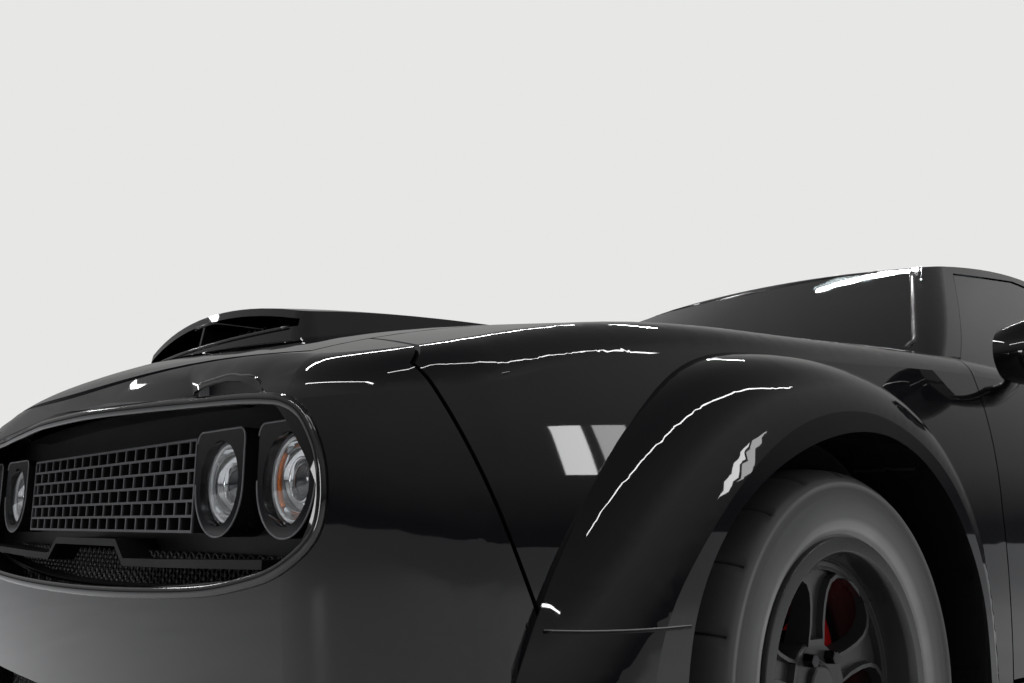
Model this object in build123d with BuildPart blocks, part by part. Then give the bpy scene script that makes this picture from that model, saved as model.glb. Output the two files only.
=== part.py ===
from build123d import *
import os

os.makedirs("parts", exist_ok=True)

# Wide-body two-door muscle coupe. Millimetres, front at -Y, the car's left at +X, ground at Z 0.

# Overall sizes
length = 5017.0
nose_y = -length / 2
tail_y = length / 2
front_axle_y = -1550.0
wheelbase = 2950.0
rear_axle_y = front_axle_y + wheelbase

# Body shell
wall = 60.0
skin = 30.0
shoulder_radius = 75.0
panel_gap = 5.0
lid_gap = 6.0
seat_gap = 0.3
door_inner_x = 800.0
sill_top = 294.0
floor_z = 165.0
floor_thickness = 20.0

# Door, hood and lid outlines
sill_inner_x = 740.0
door_front_belt_y = -794.0
door_front_low_y = -830.0
door_rear_y = 600.0
fascia_seam_top_y = -2294.0
fascia_seam_low_y = -2194.0
fascia_seam_z = 480.0
fascia_seam_bend_y = -2360.0
fascia_seam_bend_z = 802.0
fascia_seam_top_z = 868.0
quarter_seam_y = 2150.0
hood_half_front = 678.0
hood_half_rear = 742.0
cowl_front_y = -980.0
cowl_rear_y = -740.0
cowl_tongue_half = 700.0
cowl_tongue_y = -1100.0
hood_rear_y = -835.0
hood_bow = 85.0
hood_thickness = 32.0
lid_half_width = 610.0
lid_front_y = 1560.0
lid_thickness = 32.0
lid_lip_z = 905.0
deck_half_width = 690.0
deck_front_y = 1440.0

# Nose openings and lamps
mouth_half_width = 785.0
mouth_end_z = 656.0
mouth_top_x = 470.0
mouth_top_end_z = 783.0
mouth_top_z = 793.0
mouth_low_x = 660.0
mouth_low_end_z = 543.0
mouth_low_z = 508.0
lamp_z = 666.0
lamp_x = (493.0, 684.0)
lamp_face_y = -2427.0
bezel_width = 150.0
bezel_margin = 4.0
bezel_depth = 55.0
collar_thickness = 3.0
collar_reach = 140.0
lens_radius = 60.0
grille_half_width = 395.0
grille_bar = 4.0
grille_rows = 6
grille_columns = 18
intake_half_width = 560.0
intake_bottom = 205.0
intake_top = 335.0

# Tail lamps and exhaust tips
lamp_slot_x = 400.0
lamp_slot_z = 790.0
lamp_slot_width = 690.0
lamp_slot_height = 140.0
tip_x = 430.0
tip_z = 262.0
tip_radius = 52.0
pipe_radius = 28.0
pipe_x = 75.0
pipe_z = 196.0
muffler_y = 2060.0
plate_z = 480.0
plate_hole_spacing = 177.8
plate_hole_radius = 3.5

# Wheels and brakes
tyre_radius = 354.5
tyre_width = 315.0
rim_radius = 241.0
wheel_centre_x = 800.0
wheel_z = tyre_radius
spoke_count = 5
hub_radius = 72.0
bore_radius = 36.0
disc_x = 750.0
disc_radius = 180.0
disc_thickness = 30.0
caliper_inner = 112.0
caliper_outer = 198.0
caliper_reach = 56.0
kingpin_x = 785.0
arch_radius = 408.0
flare_reach = 998.0
front_well_x = 432.0
rear_well_x = 600.0
liner_thickness = 6.0

# Cabin glass
glass_thickness = 6.0
glass_inset = 4.0
pillar_depth = 30.0

# Plan outline of the lower body at each height:
# z, y of the nose, nose bow, half width at nose, waist and tail, y of the tail, corner radius
SIDE_LEVELS = [
    (110.0, nose_y + 70.0, 60.0, 868.0, 880.0, 850.0, tail_y - 110.0, 190.0),
    (330.0, nose_y + 38.0, 62.0, 902.0, 908.0, 882.0, tail_y - 40.0, 200.0),
    (560.0, nose_y + 14.0, 64.0, 914.0, 916.0, 905.0, tail_y - 14.0, 205.0),
    (780.0, nose_y + 16.0, 64.0, 900.0, 903.0, 900.0, tail_y - 16.0, 205.0),
    (940.0, nose_y + 40.0, 62.0, 862.0, 868.0, 872.0, tail_y - 24.0, 195.0),
    (1130.0, nose_y + 120.0, 60.0, 770.0, 790.0, 812.0, tail_y - 40.0, 180.0),
]

# Crown of hood, shoulders and deck: y, z on the centre line, drop at x 850
TOP_STATIONS = [
    (nose_y - 60.0, 790.0, 60.0),
    (-2430.0, 872.0, 78.0),
    (-2300.0, 918.0, 82.0),
    (-2000.0, 966.0, 60.0),
    (-1500.0, 996.0, 42.0),
    (-850.0, 1036.0, 38.0),
    (300.0, 1034.0, 34.0),
    (1300.0, 1080.0, 36.0),
    (2000.0, 1098.0, 40.0),
    (tail_y + 60.0, 1084.0, 44.0),
]

# Plan outline of the cabin at each height:
# z, y of windshield corner, bow, half width front, middle and rear, y of rear corner, bow, corner radius
CABIN_LEVELS = [
    (930.0, -930.0, 118.0, 818.0, 864.0, 770.0, 1690.0, 50.0, 60.0),
    (1040.0, -780.0, 108.0, 776.0, 806.0, 705.0, 1500.0, 45.0, 60.0),
    (1380.0, -316.0, 66.0, 572.0, 614.0, 566.0, 850.0, 35.0, 60.0),
    (1500.0, -152.0, 50.0, 500.0, 545.0, 516.0, 620.0, 30.0, 60.0),
]

# Roof crown: y, z on the centre line, drop at x 600
ROOF_STATIONS = [
    (-1200.0, 1200.0, 40.0),
    (-700.0, 1310.0, 40.0),
    (-400.0, 1376.0, 40.0),
    (-100.0, 1424.0, 40.0),
    (250.0, 1452.0, 40.0),
    (600.0, 1440.0, 40.0),
    (900.0, 1392.0, 40.0),
    (1700.0, 1200.0, 40.0),
]


# Closed plan outlines stacked into one smooth body
def side_body(inset):
    with BuildPart() as body:
        for z, y_nose, bow, x_nose, x_waist, x_tail, y_tail, corner in SIDE_LEVELS:
            front = y_nose + inset
            rear = y_tail - inset
            xn = x_nose - inset
            xw = x_waist - inset
            xt = x_tail - inset
            with BuildSketch(Plane.XY.offset(z)) as outline:
                with BuildLine():
                    ThreePointArc((-xn, front + bow), (0, front), (xn, front + bow))
                    ThreePointArc((xn, front + bow), (xw, 0), (xt, rear - bow))
                    ThreePointArc((xt, rear - bow), (0, rear), (-xt, rear - bow))
                    ThreePointArc((-xt, rear - bow), (-xw, 0), (-xn, front + bow))
                make_face()
                fillet(outline.vertices(), corner)
        loft()
    return body.part


# Everything under the crown of hood, shoulders and deck
def crown_body(stations, reference_x, drop_down):
    reach = 1150.0
    with BuildPart() as body:
        for y, z, drop in stations:
            top = z - drop_down
            edge = top - drop * (reach / reference_x) ** 2
            with BuildSketch(Plane.XZ.offset(-y)):
                with BuildLine():
                    ThreePointArc((-reach, edge), (0, top), (reach, edge))
                    Polyline((reach, edge), (reach, -100), (-reach, -100), (-reach, edge))
                make_face()
        loft()
    return body.part


# Lower body block, smaller by an inset on each side and under the crown
def hull(side_inset, top_inset, rounded=False):
    with BuildPart() as body:
        add(side_body(side_inset))
        add(crown_body(TOP_STATIONS, 850.0, top_inset), mode=Mode.INTERSECT)
        if rounded:
            fillet(body.faces().sort_by(Axis.Z)[-1].edges(), shoulder_radius)
    return body.part


# Cabin block with its roof crown
def cabin(inset, roof_inset):
    with BuildPart() as body:
        for z, y_front, bow, x_front, x_mid, x_rear, y_rear, bow_rear, corner in CABIN_LEVELS:
            front = y_front + inset
            rear = y_rear - inset
            xf = x_front - inset
            xm = x_mid - inset
            xr = x_rear - inset
            with BuildSketch(Plane.XY.offset(z)) as outline:
                with BuildLine():
                    ThreePointArc((-xf, front), (0, front - bow), (xf, front))
                    ThreePointArc((xf, front), (xm, 250), (xr, rear))
                    ThreePointArc((xr, rear), (0, rear + bow_rear), (-xr, rear))
                    ThreePointArc((-xr, rear), (-xm, 250), (-xf, front))
                make_face()
                fillet(outline.vertices(), corner)
        loft()
        add(crown_body(ROOF_STATIONS, 600.0, roof_inset), mode=Mode.INTERSECT)
    return body.part


# A block cut out by a closed side view, points given as y and z
def side_prism(points, x_start, x_end):
    with BuildPart() as block:
        with BuildSketch(Plane.YZ.offset(x_start)):
            with BuildLine():
                Polyline(*points, close=True)
            make_face()
        extrude(amount=x_end - x_start)
    return block.part


# Side view of a wheel opening from the axle, y towards the middle of the car and z
ARCH_POINTS = [
    (-488.0, -150.0),
    (-480.0, 0.0),
    (-457.0, 132.0),
    (-374.0, 256.0),
    (-244.0, 344.0),
    (-75.0, 400.0),
    (100.0, 404.0),
    (259.0, 333.0),
    (355.0, 228.0),
    (396.0, 130.0),
    (402.0, 0.0),
    (392.0, -150.0),
]


# Smooth side view of a wheel opening, grown from the axle, and closed below the ground
def arch_outline(axle, direction, grow):
    scale = 1 + grow / arch_radius
    edge = [(axle + direction * y * scale, wheel_z + z * scale) for y, z in ARCH_POINTS]
    with BuildSketch() as outline:
        with BuildLine():
            Spline(*edge)
            Polyline(edge[-1], (edge[-1][0], -150), (edge[0][0], -150), edge[0])
        make_face()
    return outline.sketch


# The block that cuts both openings of one axle
def arch_block(axle, direction, grow=0.0):
    with BuildPart() as block:
        with BuildSketch(Plane.YZ.offset(-1100)):
            add(arch_outline(axle, direction, grow))
        extrude(amount=2200)
    return block.part


# A disc-shaped block along X round a wheel centre
def wheel_block(y, radius, x_start, x_end):
    with BuildPart() as block:
        with BuildSketch(Plane.YZ.offset(x_start)):
            with Locations((y, wheel_z)):
                Circle(radius)
        extrude(amount=x_end - x_start)
    return block.part


# Plan outline of the hood, grown by a gap
def hood_outline(grow):
    with BuildSketch() as outline:
        with BuildLine():
            ThreePointArc(
                (-hood_half_front - grow, fascia_seam_top_y - grow),
                (0, fascia_seam_top_y - hood_bow - grow),
                (hood_half_front + grow, fascia_seam_top_y - grow),
            )
            Line((hood_half_front + grow, fascia_seam_top_y - grow), (hood_half_rear + grow, hood_rear_y + grow))
            ThreePointArc(
                (hood_half_rear + grow, hood_rear_y + grow),
                (0, hood_rear_y - hood_bow + grow),
                (-hood_half_rear - grow, hood_rear_y + grow),
            )
            Line((-hood_half_rear - grow, hood_rear_y + grow), (-hood_half_front - grow, fascia_seam_top_y - grow))
        make_face()
    return outline.sketch


# The hood's block leans forward so that its front edge lifts clear
def hood_block(grow):
    with BuildPart() as block:
        add(hood_outline(grow))
        extrude(amount=1300, dir=(0, -0.12, 1))
    return block.part


# Blocks reused by several panels
outer_hull = hull(0, 0, rounded=True)
inner_hull = hull(wall, skin)
under_skin = crown_body(TOP_STATIONS, 850.0, hood_thickness)
cabin_outer = cabin(0, 0)
cabin_inner = cabin(pillar_depth, pillar_depth)
front_arch = arch_block(front_axle_y, 1)
rear_arch = arch_block(rear_axle_y, -1)

door_points = [
    (door_front_belt_y, 1150.0),
    (door_front_belt_y, 970.0),
    (door_front_low_y, 640.0),
    (door_front_low_y, sill_top + lid_gap),
    (door_rear_y - 45.0, sill_top + lid_gap),
    (door_rear_y, 480.0),
    (door_rear_y, 1150.0),
]
door_room_points = [
    (door_front_belt_y - panel_gap, 1200.0),
    (door_front_belt_y - panel_gap, 900.0),
    (door_rear_y + lid_gap, 900.0),
    (door_rear_y + lid_gap, 1200.0),
]
fascia_points = [
    (nose_y - 100, -50),
    (front_axle_y - 200, -50),
    (front_axle_y - 200, fascia_seam_z),
    (fascia_seam_low_y, fascia_seam_z),
    (fascia_seam_bend_y, fascia_seam_bend_z),
    (fascia_seam_top_y - 12, fascia_seam_top_z),
    (fascia_seam_top_y - 12, 1200),
    (nose_y - 100, 1200),
]
fender_points = [
    (fascia_seam_top_y - 12 + panel_gap, 1200),
    (fascia_seam_top_y - 12 + panel_gap, fascia_seam_top_z),
    (fascia_seam_bend_y + panel_gap, fascia_seam_bend_z),
    (fascia_seam_low_y + panel_gap, fascia_seam_z + panel_gap),
    (front_axle_y, fascia_seam_z + panel_gap),
    (front_axle_y, sill_top),
    (door_front_low_y - panel_gap, sill_top),
    (door_front_low_y - panel_gap, 640),
    (door_front_belt_y - panel_gap, 970),
    (door_front_belt_y - panel_gap, 1200),
]
quarter_points = [
    (door_rear_y + lid_gap, 1200),
    (door_rear_y + lid_gap, 480),
    (door_rear_y - 45 + lid_gap, sill_top),
    (rear_axle_y, sill_top),
    (rear_axle_y, 420),
    (quarter_seam_y, 420),
    (quarter_seam_y, 1200),
]
rear_fascia_points = [
    (rear_axle_y + 200, -50),
    (tail_y + 100, -50),
    (tail_y + 100, 1200),
    (quarter_seam_y + panel_gap, 1200),
    (quarter_seam_y + panel_gap, 420 - panel_gap),
    (rear_axle_y + 200, 420 - panel_gap),
]


# Front view of the mouth in the nose: low in the middle, drawn in to round ends
def mouth_outline(grow):
    with BuildSketch() as outline:
        with BuildLine():
            ThreePointArc((-mouth_top_x, mouth_top_end_z), (0, mouth_top_z), (mouth_top_x, mouth_top_end_z))
            ThreePointArc((mouth_top_x, mouth_top_end_z), (712, 748), (mouth_half_width, mouth_end_z))
            ThreePointArc((mouth_half_width, mouth_end_z), (756, 576), (mouth_low_x, mouth_low_end_z))
            ThreePointArc((mouth_low_x, mouth_low_end_z), (0, mouth_low_z), (-mouth_low_x, mouth_low_end_z))
            ThreePointArc((-mouth_low_x, mouth_low_end_z), (-756, 576), (-mouth_half_width, mouth_end_z))
            ThreePointArc((-mouth_half_width, mouth_end_z), (-712, 748), (-mouth_top_x, mouth_top_end_z))
        make_face()
        if grow:
            offset(amount=grow)
    return outline.sketch


# Front fascia: hollow nose with the wide lamp and grille mouth and a low intake
with BuildPart() as front_fascia:
    add(outer_hull)
    add(inner_hull, mode=Mode.SUBTRACT)
    add(side_prism(fascia_points, -1100, 1100), mode=Mode.INTERSECT)
    add(hood_block(lid_gap), mode=Mode.SUBTRACT)
    with BuildSketch(Plane.XZ.offset(-nose_y + 100)):
        add(mouth_outline(0))
    extrude(amount=-330, mode=Mode.SUBTRACT)
    with BuildSketch(Plane.XZ.offset(-nose_y + 100)):
        with Locations((0, (intake_bottom + intake_top) / 2)):
            RectangleRounded(2 * intake_half_width, intake_top - intake_bottom, 45)
    extrude(amount=-330, mode=Mode.SUBTRACT)
    add(front_arch, mode=Mode.SUBTRACT)
front_fascia.part.label = "front_fascia"
export_step(front_fascia.part, "parts/front_fascia.step")

# Tray in the mouth that carries lamps and grille, with a stepped lip over its low slot
tray_face_y = lamp_face_y + bezel_depth
tray_thickness = 12.0
lip_depth = 69.0
lip_path = [(660, 553), (330, 545), (190, 543), (150, 573), (-150, 573), (-190, 543), (-330, 545), (-660, 553)]
lip_thickness = 12.0
slot_z = 524.0
with BuildPart() as grille_tray:
    with BuildSketch(Plane.XZ.offset(-tray_face_y)):
        add(mouth_outline(-seat_gap))
        with BuildLine():
            Polyline((-560, slot_z + 8), (-330, slot_z), (330, slot_z), (560, slot_z + 8), *lip_path, close=True)
        make_face(mode=Mode.SUBTRACT)
    extrude(amount=-tray_thickness)
    with BuildSketch(Plane.XZ.offset(-tray_face_y)):
        with BuildLine():
            Polyline(*lip_path, *[(x, z + lip_thickness) for x, z in reversed(lip_path)], close=True)
        make_face()
    extrude(amount=lip_depth)
    with BuildPart(mode=Mode.PRIVATE) as collar:
        with BuildSketch(Plane.XZ.offset(-tray_face_y)):
            add(mouth_outline(-seat_gap))
            add(mouth_outline(-seat_gap - collar_thickness), mode=Mode.SUBTRACT)
        extrude(amount=collar_reach)
        add(inner_hull, mode=Mode.INTERSECT)
    add(collar.part)
grille_tray.part.label = "grille_tray"
export_step(grille_tray.part, "parts/grille_tray.step")

# Egg-crate grille: thin bars, upright ones staggered from row to row
grille_height = 140.0
grille_depth = bezel_depth - 8.0
row_pitch = (grille_height - grille_bar) / grille_rows
column_pitch = (2 * grille_half_width - grille_bar) / grille_columns
with BuildPart() as grille:
    with BuildSketch(Plane.XZ.offset(-tray_face_y)):
        with Locations((0, lamp_z)):
            Rectangle(2 * grille_half_width, grille_height)
            Rectangle(2 * grille_half_width - 2 * grille_bar, grille_height - 2 * grille_bar, mode=Mode.SUBTRACT)
        for row in range(grille_rows):
            row_z = lamp_z - grille_height / 2 + grille_bar / 2 + row * row_pitch
            if row > 0:
                with Locations((0, row_z)):
                    Rectangle(2 * grille_half_width, grille_bar)
            shift = column_pitch / 2 if row % 2 else 0
            for column in range(1, grille_columns + row % 2):
                bar_x = -grille_half_width + grille_bar / 2 + column * column_pitch - shift
                with Locations((bar_x, row_z + row_pitch / 2)):
                    Rectangle(grille_bar, row_pitch)
    extrude(amount=grille_depth)
grille.part.label = "grille"
export_step(grille.part, "parts/grille.step")

# Four lamp bezels, flat on top and round below, with a bored cup for the lens
with BuildPart() as lamp_bezels:
    for x in (-lamp_x[1], -lamp_x[0], lamp_x[0], lamp_x[1]):
        half = bezel_width / 2
        side = 1 if x > 0 else -1
        with BuildSketch(Plane.XZ.offset(-tray_face_y)) as rim:
            with BuildLine():
                Polyline((x - half, lamp_z), (x - half, lamp_z + half), (x + half, lamp_z + half), (x + half, lamp_z))
                ThreePointArc((x + half, lamp_z), (x, lamp_z - half), (x - half, lamp_z))
            make_face()
            fillet(rim.vertices().group_by(Axis.Y)[-1], 14)
        extrude(amount=bezel_depth)
        with BuildSketch(Plane.XZ.offset(-tray_face_y + 2 * bezel_depth)):
            with Locations((x, lamp_z)):
                Circle(lens_radius)
        extrude(amount=-3 * bezel_depth, mode=Mode.SUBTRACT)
    with BuildSketch(Plane.XZ.offset(-tray_face_y + 100)):
        add(mouth_outline(-bezel_margin))
    extrude(amount=-200, mode=Mode.INTERSECT)
lamp_bezels.part.label = "lamp_bezels"
export_step(lamp_bezels.part, "parts/lamp_bezels.step")

# Four domed lamp lenses on their reflector cups
lens_dome_radius = 126.0
lens_depth = 18.0
with BuildPart() as lamp_lenses:
    lens_places = [(x, lamp_z) for x in (-lamp_x[1], -lamp_x[0], lamp_x[0], lamp_x[1])]
    with BuildSketch(Plane.XZ.offset(-tray_face_y + seat_gap)):
        with Locations(*lens_places):
            Circle(lens_radius - seat_gap)
    extrude(amount=lens_depth + 10)
    with BuildPart(mode=Mode.PRIVATE) as domes:
        with Locations(*[(x, tray_face_y - lens_depth + lens_dome_radius, z) for x, z in lens_places]):
            Sphere(lens_dome_radius)
    add(domes.part, mode=Mode.INTERSECT)
lamp_lenses.part.label = "lamp_lenses"
export_step(lamp_lenses.part, "parts/lamp_lenses.step")

# Splitter blade under the nose
with BuildPart() as splitter:
    with BuildSketch(Plane.XY.offset(96)) as blade:
        with BuildLine():
            ThreePointArc((-800, nose_y + 100), (0, nose_y), (800, nose_y + 100))
            Line((800, nose_y + 100), (800, nose_y + 330))
            Line((800, nose_y + 330), (-800, nose_y + 330))
            Line((-800, nose_y + 330), (-800, nose_y + 100))
        make_face()
        fillet(blade.vertices().group_by(Axis.Y)[0], 60)
    extrude(amount=14 - seat_gap)
splitter.part.label = "splitter"
export_step(splitter.part, "parts/splitter.step")

# Front fenders
with BuildPart() as fenders:
    add(outer_hull)
    add(inner_hull, mode=Mode.SUBTRACT)
    add(side_prism(fender_points, 300, 1100), mode=Mode.INTERSECT)
    add(hood_block(lid_gap), mode=Mode.SUBTRACT)
    add(front_arch, mode=Mode.SUBTRACT)
    with BuildSketch():
        with Locations((0, cowl_front_y / 2)):
            Rectangle(2 * (hood_half_rear + lid_gap), -cowl_front_y)
        with Locations((0, (cowl_front_y + cowl_tongue_y) / 2)):
            Rectangle(2 * cowl_tongue_half, cowl_front_y - cowl_tongue_y)
    extrude(amount=1300, mode=Mode.SUBTRACT)
    mirror(about=Plane.YZ)
fenders.part.label = "fenders"
export_step(fenders.part, "parts/fenders.step")

# Rear quarter panels
with BuildPart() as quarters:
    add(outer_hull)
    add(inner_hull, mode=Mode.SUBTRACT)
    add(side_prism(quarter_points, 300, 1100), mode=Mode.INTERSECT)
    add(rear_arch, mode=Mode.SUBTRACT)
    with BuildSketch():
        with Locations((0, (lid_front_y + tail_y) / 2)):
            Rectangle(2 * (lid_half_width + lid_gap), tail_y - lid_front_y + 2 * lid_gap)
        with Locations((0, lid_front_y - lid_gap - 600)):
            Rectangle(2 * deck_half_width, 1200)
    extrude(amount=1300, mode=Mode.SUBTRACT)
    mirror(about=Plane.YZ)
quarters.part.label = "quarter_panels"
export_step(quarters.part, "parts/quarter_panels.step")

# Rear fascia with its lamp recess
with BuildPart() as rear_fascia:
    add(outer_hull)
    add(inner_hull, mode=Mode.SUBTRACT)
    add(side_prism(rear_fascia_points, -1100, 1100), mode=Mode.INTERSECT)
    with BuildSketch(Plane.XY.offset(lid_lip_z - lid_gap)):
        with Locations((0, (lid_front_y + tail_y) / 2 + 100)):
            Rectangle(2 * (lid_half_width + lid_gap), tail_y - lid_front_y + 200)
    extrude(amount=400, mode=Mode.SUBTRACT)
    add(rear_arch, mode=Mode.SUBTRACT)
    for side in (-1, 1):
        with BuildSketch(Plane.XZ.offset(-tail_y + 240)):
            with Locations((side * lamp_slot_x, lamp_slot_z)):
                RectangleRounded(lamp_slot_width, lamp_slot_height, lamp_slot_height / 2 - 5)
            with Locations((side * tip_x, tip_z)):
                Circle(tip_radius + 12)
        extrude(amount=-340, mode=Mode.SUBTRACT)
    with BuildSketch(Plane.XZ.offset(-(tail_y - 90))):
        with Locations((0, plate_z)):
            RectangleRounded(330, 175, 12)
    extrude(amount=-60)
    with BuildSketch(Plane.XZ.offset(-(tail_y - 30))):
        with Locations((0, plate_z)):
            Rectangle(320, 165)
    extrude(amount=-100, mode=Mode.SUBTRACT)
    with BuildSketch(Plane.XZ.offset(-tail_y + 200)):
        with Locations((-plate_hole_spacing / 2, plate_z + 40), (plate_hole_spacing / 2, plate_z + 40)):
            Circle(plate_hole_radius)
    extrude(amount=-400, mode=Mode.SUBTRACT)
rear_fascia.part.label = "rear_fascia"
export_step(rear_fascia.part, "parts/rear_fascia.step")

# Tail lamps fill the two slots of the rear fascia
with BuildPart() as tail_lamps:
    add(outer_hull)
    add(inner_hull, mode=Mode.SUBTRACT)
    with BuildSketch(Plane.XZ.offset(-tail_y + 240)):
        for side in (-1, 1):
            with Locations((side * lamp_slot_x, lamp_slot_z)):
                RectangleRounded(
                    lamp_slot_width - 2 * seat_gap,
                    lamp_slot_height - 2 * seat_gap,
                    lamp_slot_height / 2 - 5 - seat_gap,
                )
    extrude(amount=-340, mode=Mode.INTERSECT)
tail_lamps.part.label = "tail_lamps"
export_step(tail_lamps.part, "parts/tail_lamps.step")

# Rear deck strip between back window and lid
with BuildPart() as rear_deck:
    add(outer_hull)
    add(under_skin, mode=Mode.SUBTRACT)
    with BuildSketch():
        with Locations((0, (deck_front_y + lid_front_y - lid_gap) / 2)):
            Rectangle(2 * deck_half_width - 2 * seat_gap, lid_front_y - lid_gap - deck_front_y)
    extrude(amount=1300, mode=Mode.INTERSECT)
rear_deck.part.label = "rear_deck"
export_step(rear_deck.part, "parts/rear_deck.step")

# Trunk lid with its short upright rear face
with BuildPart() as trunk_lid:
    add(outer_hull)
    add(inner_hull, mode=Mode.SUBTRACT)
    with BuildSketch(Plane.XY.offset(lid_lip_z)):
        with Locations((0, (lid_front_y + tail_y) / 2 + 100)):
            Rectangle(2 * lid_half_width, tail_y - lid_front_y + 200)
    extrude(amount=400, mode=Mode.INTERSECT)
trunk_lid.part.label = "trunk_lid"
export_step(trunk_lid.part, "parts/trunk_lid.step")

# Lip spoiler: y, z on the centre line, drop at x 850
SPOILER_STATIONS = [
    (2180.0, 1088.0, 40.0),
    (2330.0, 1108.0, 42.0),
    (2450.0, 1136.0, 44.0),
    (2540.0, 1150.0, 44.0),
]
with BuildPart() as spoiler:
    add(crown_body(SPOILER_STATIONS, 850.0, 0))
    add(side_body(14), mode=Mode.INTERSECT)
    with BuildSketch():
        with Locations((0, 2350)):
            Rectangle(2 * lid_half_width - 30, 400)
    extrude(amount=1300, mode=Mode.INTERSECT)
    add(outer_hull, mode=Mode.SUBTRACT)
spoiler.part.label = "spoiler"
export_step(spoiler.part, "parts/spoiler.step")

# Hood panel
with BuildPart() as hood_panel:
    add(outer_hull)
    add(under_skin, mode=Mode.SUBTRACT)
    add(hood_block(0), mode=Mode.INTERSECT)
hood_panel.part.label = "hood_panel"
export_step(hood_panel.part, "parts/hood_panel.step")

# Hood scoop: y, z on the centre line, drop at x 300
SCOOP_STATIONS = [
    (-2300.0, 1000.0, 42.0),
    (-2230.0, 1012.0, 42.0),
    (-1900.0, 1040.0, 34.0),
    (-1500.0, 1052.0, 26.0),
    (-1040.0, 1056.0, 18.0),
    (-900.0, 1046.0, 16.0),
]
scoop_half_front = 352.0
scoop_half_rear = 270.0
scoop_front_y = -2262.0
scoop_rear_y = -975.0
scoop_mouth_z = 947.0
scoop_roof = 14.0
scoop_mouth_depth = 190.0
with BuildPart() as hood_scoop:
    add(crown_body(SCOOP_STATIONS, 300.0, 0))
    with BuildSketch(Plane.XY.offset(900)) as plan:
        with BuildLine():
            ThreePointArc(
                (-scoop_half_front, scoop_front_y + 34), (0, scoop_front_y), (scoop_half_front, scoop_front_y + 34)
            )
            Polyline(
                (scoop_half_front, scoop_front_y + 34),
                (scoop_half_rear, scoop_rear_y),
                (-scoop_half_rear, scoop_rear_y),
                (-scoop_half_front, scoop_front_y + 34),
            )
        make_face()
        fillet(plan.vertices(), 40)
    extrude(amount=300, taper=10, mode=Mode.INTERSECT)
    add(outer_hull, mode=Mode.SUBTRACT)
    with BuildPart(mode=Mode.PRIVATE) as mouth:
        add(crown_body(SCOOP_STATIONS, 300.0, scoop_roof))
        with BuildSketch(Plane.XY.offset(scoop_mouth_z)):
            with Locations((0, scoop_front_y - 100 + (scoop_mouth_depth + 100) / 2)):
                Rectangle(2 * scoop_half_front - 50, scoop_mouth_depth + 100)
        extrude(amount=300, mode=Mode.INTERSECT)
        Box(8, 6000, 3000, mode=Mode.SUBTRACT)
    add(mouth.part, mode=Mode.SUBTRACT)
hood_scoop.part.label = "hood_scoop"
export_step(hood_scoop.part, "parts/hood_scoop.step")

# Cowl under the windshield
with BuildPart() as cowl:
    add(outer_hull)
    add(under_skin, mode=Mode.SUBTRACT)
    with BuildSketch():
        with Locations((0, (cowl_front_y + seat_gap + cowl_rear_y) / 2)):
            Rectangle(2 * (hood_half_rear + lid_gap - seat_gap), cowl_rear_y - cowl_front_y - seat_gap)
        with Locations((0, (cowl_front_y + cowl_tongue_y) / 2)):
            Rectangle(2 * (cowl_tongue_half - seat_gap), cowl_front_y - cowl_tongue_y + 2)
    extrude(amount=1300, mode=Mode.INTERSECT)
    add(hood_block(lid_gap), mode=Mode.SUBTRACT)
    with BuildSketch():
        with Locations((0, -700)):
            Rectangle(1380, 140)
    extrude(amount=1300, mode=Mode.SUBTRACT)
cowl.part.label = "cowl"
export_step(cowl.part, "parts/cowl.step")

# Side windows seen from the side; the door glass stops at the door's rear edge
window_low_front_y = -722.0
window_points = [
    (window_low_front_y, 1000.0),
    (-285.0, 1334.0),
    (150.0, 1386.0),
    (door_rear_y - 10, 1380.0),
    (door_rear_y, 900.0),
    (-860.0, 900.0),
]
quarter_window_points = [
    (door_rear_y + 50, 940.0),
    (door_rear_y + 42, 1372.0),
    (880.0, 1290.0),
    (1060.0, 1120.0),
    (1040.0, 1075.0),
    (900.0, 940.0),
]


# Windshield and back window openings seen from above
def window_blocks(shrink):
    with BuildPart() as blocks:
        with BuildSketch():
            with BuildLine():
                ThreePointArc(
                    (-728 + shrink, -790 + shrink), (0, -893 + shrink), (728 - shrink, -790 + shrink)
                )
                Line((728 - shrink, -790 + shrink), (522 - shrink, -342 - shrink))
                ThreePointArc((522 - shrink, -342 - shrink), (0, -402 - shrink), (-522 + shrink, -342 - shrink))
                Line((-522 + shrink, -342 - shrink), (-728 + shrink, -790 + shrink))
            make_face()
            with BuildLine():
                ThreePointArc((-515 + shrink, 880 + shrink), (0, 912 + shrink), (515 - shrink, 880 + shrink))
                Line((515 - shrink, 880 + shrink), (620 - shrink, 1440 - shrink))
                ThreePointArc((620 - shrink, 1440 - shrink), (0, 1478 - shrink), (-620 + shrink, 1440 - shrink))
                Line((-620 + shrink, 1440 - shrink), (-515 + shrink, 880 + shrink))
            make_face()
        extrude(amount=1600)
    return blocks.part


# Room above the door's top edge, so that the door swings clear of the pillars
with BuildPart() as clearance:
    add(side_body(-lid_gap))
    add(crown_body(TOP_STATIONS, 850.0, -lid_gap), mode=Mode.INTERSECT)
    with BuildSketch(Plane.YZ.offset(-1100)):
        with BuildLine():
            Polyline(*door_room_points, close=True)
        make_face()
    extrude(amount=2200, mode=Mode.INTERSECT)
    Box(2 * (door_inner_x - lid_gap), 3000, 3000, mode=Mode.SUBTRACT)
door_clearance = clearance.part

# Roof with windshield, centre and rear pillars
with BuildPart() as roof:
    add(cabin_outer)
    add(cabin_inner, mode=Mode.SUBTRACT)
    add(window_blocks(0), mode=Mode.SUBTRACT)
    for side in (-1, 1):
        add(side_prism(window_points, side * 350, side * 1100), mode=Mode.SUBTRACT)
        add(side_prism(quarter_window_points, side * 350, side * 1100), mode=Mode.SUBTRACT)
    add(outer_hull, mode=Mode.SUBTRACT)
    add(door_clearance, mode=Mode.SUBTRACT)
roof.part.label = "roof"
export_step(roof.part, "parts/roof.step")


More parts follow.
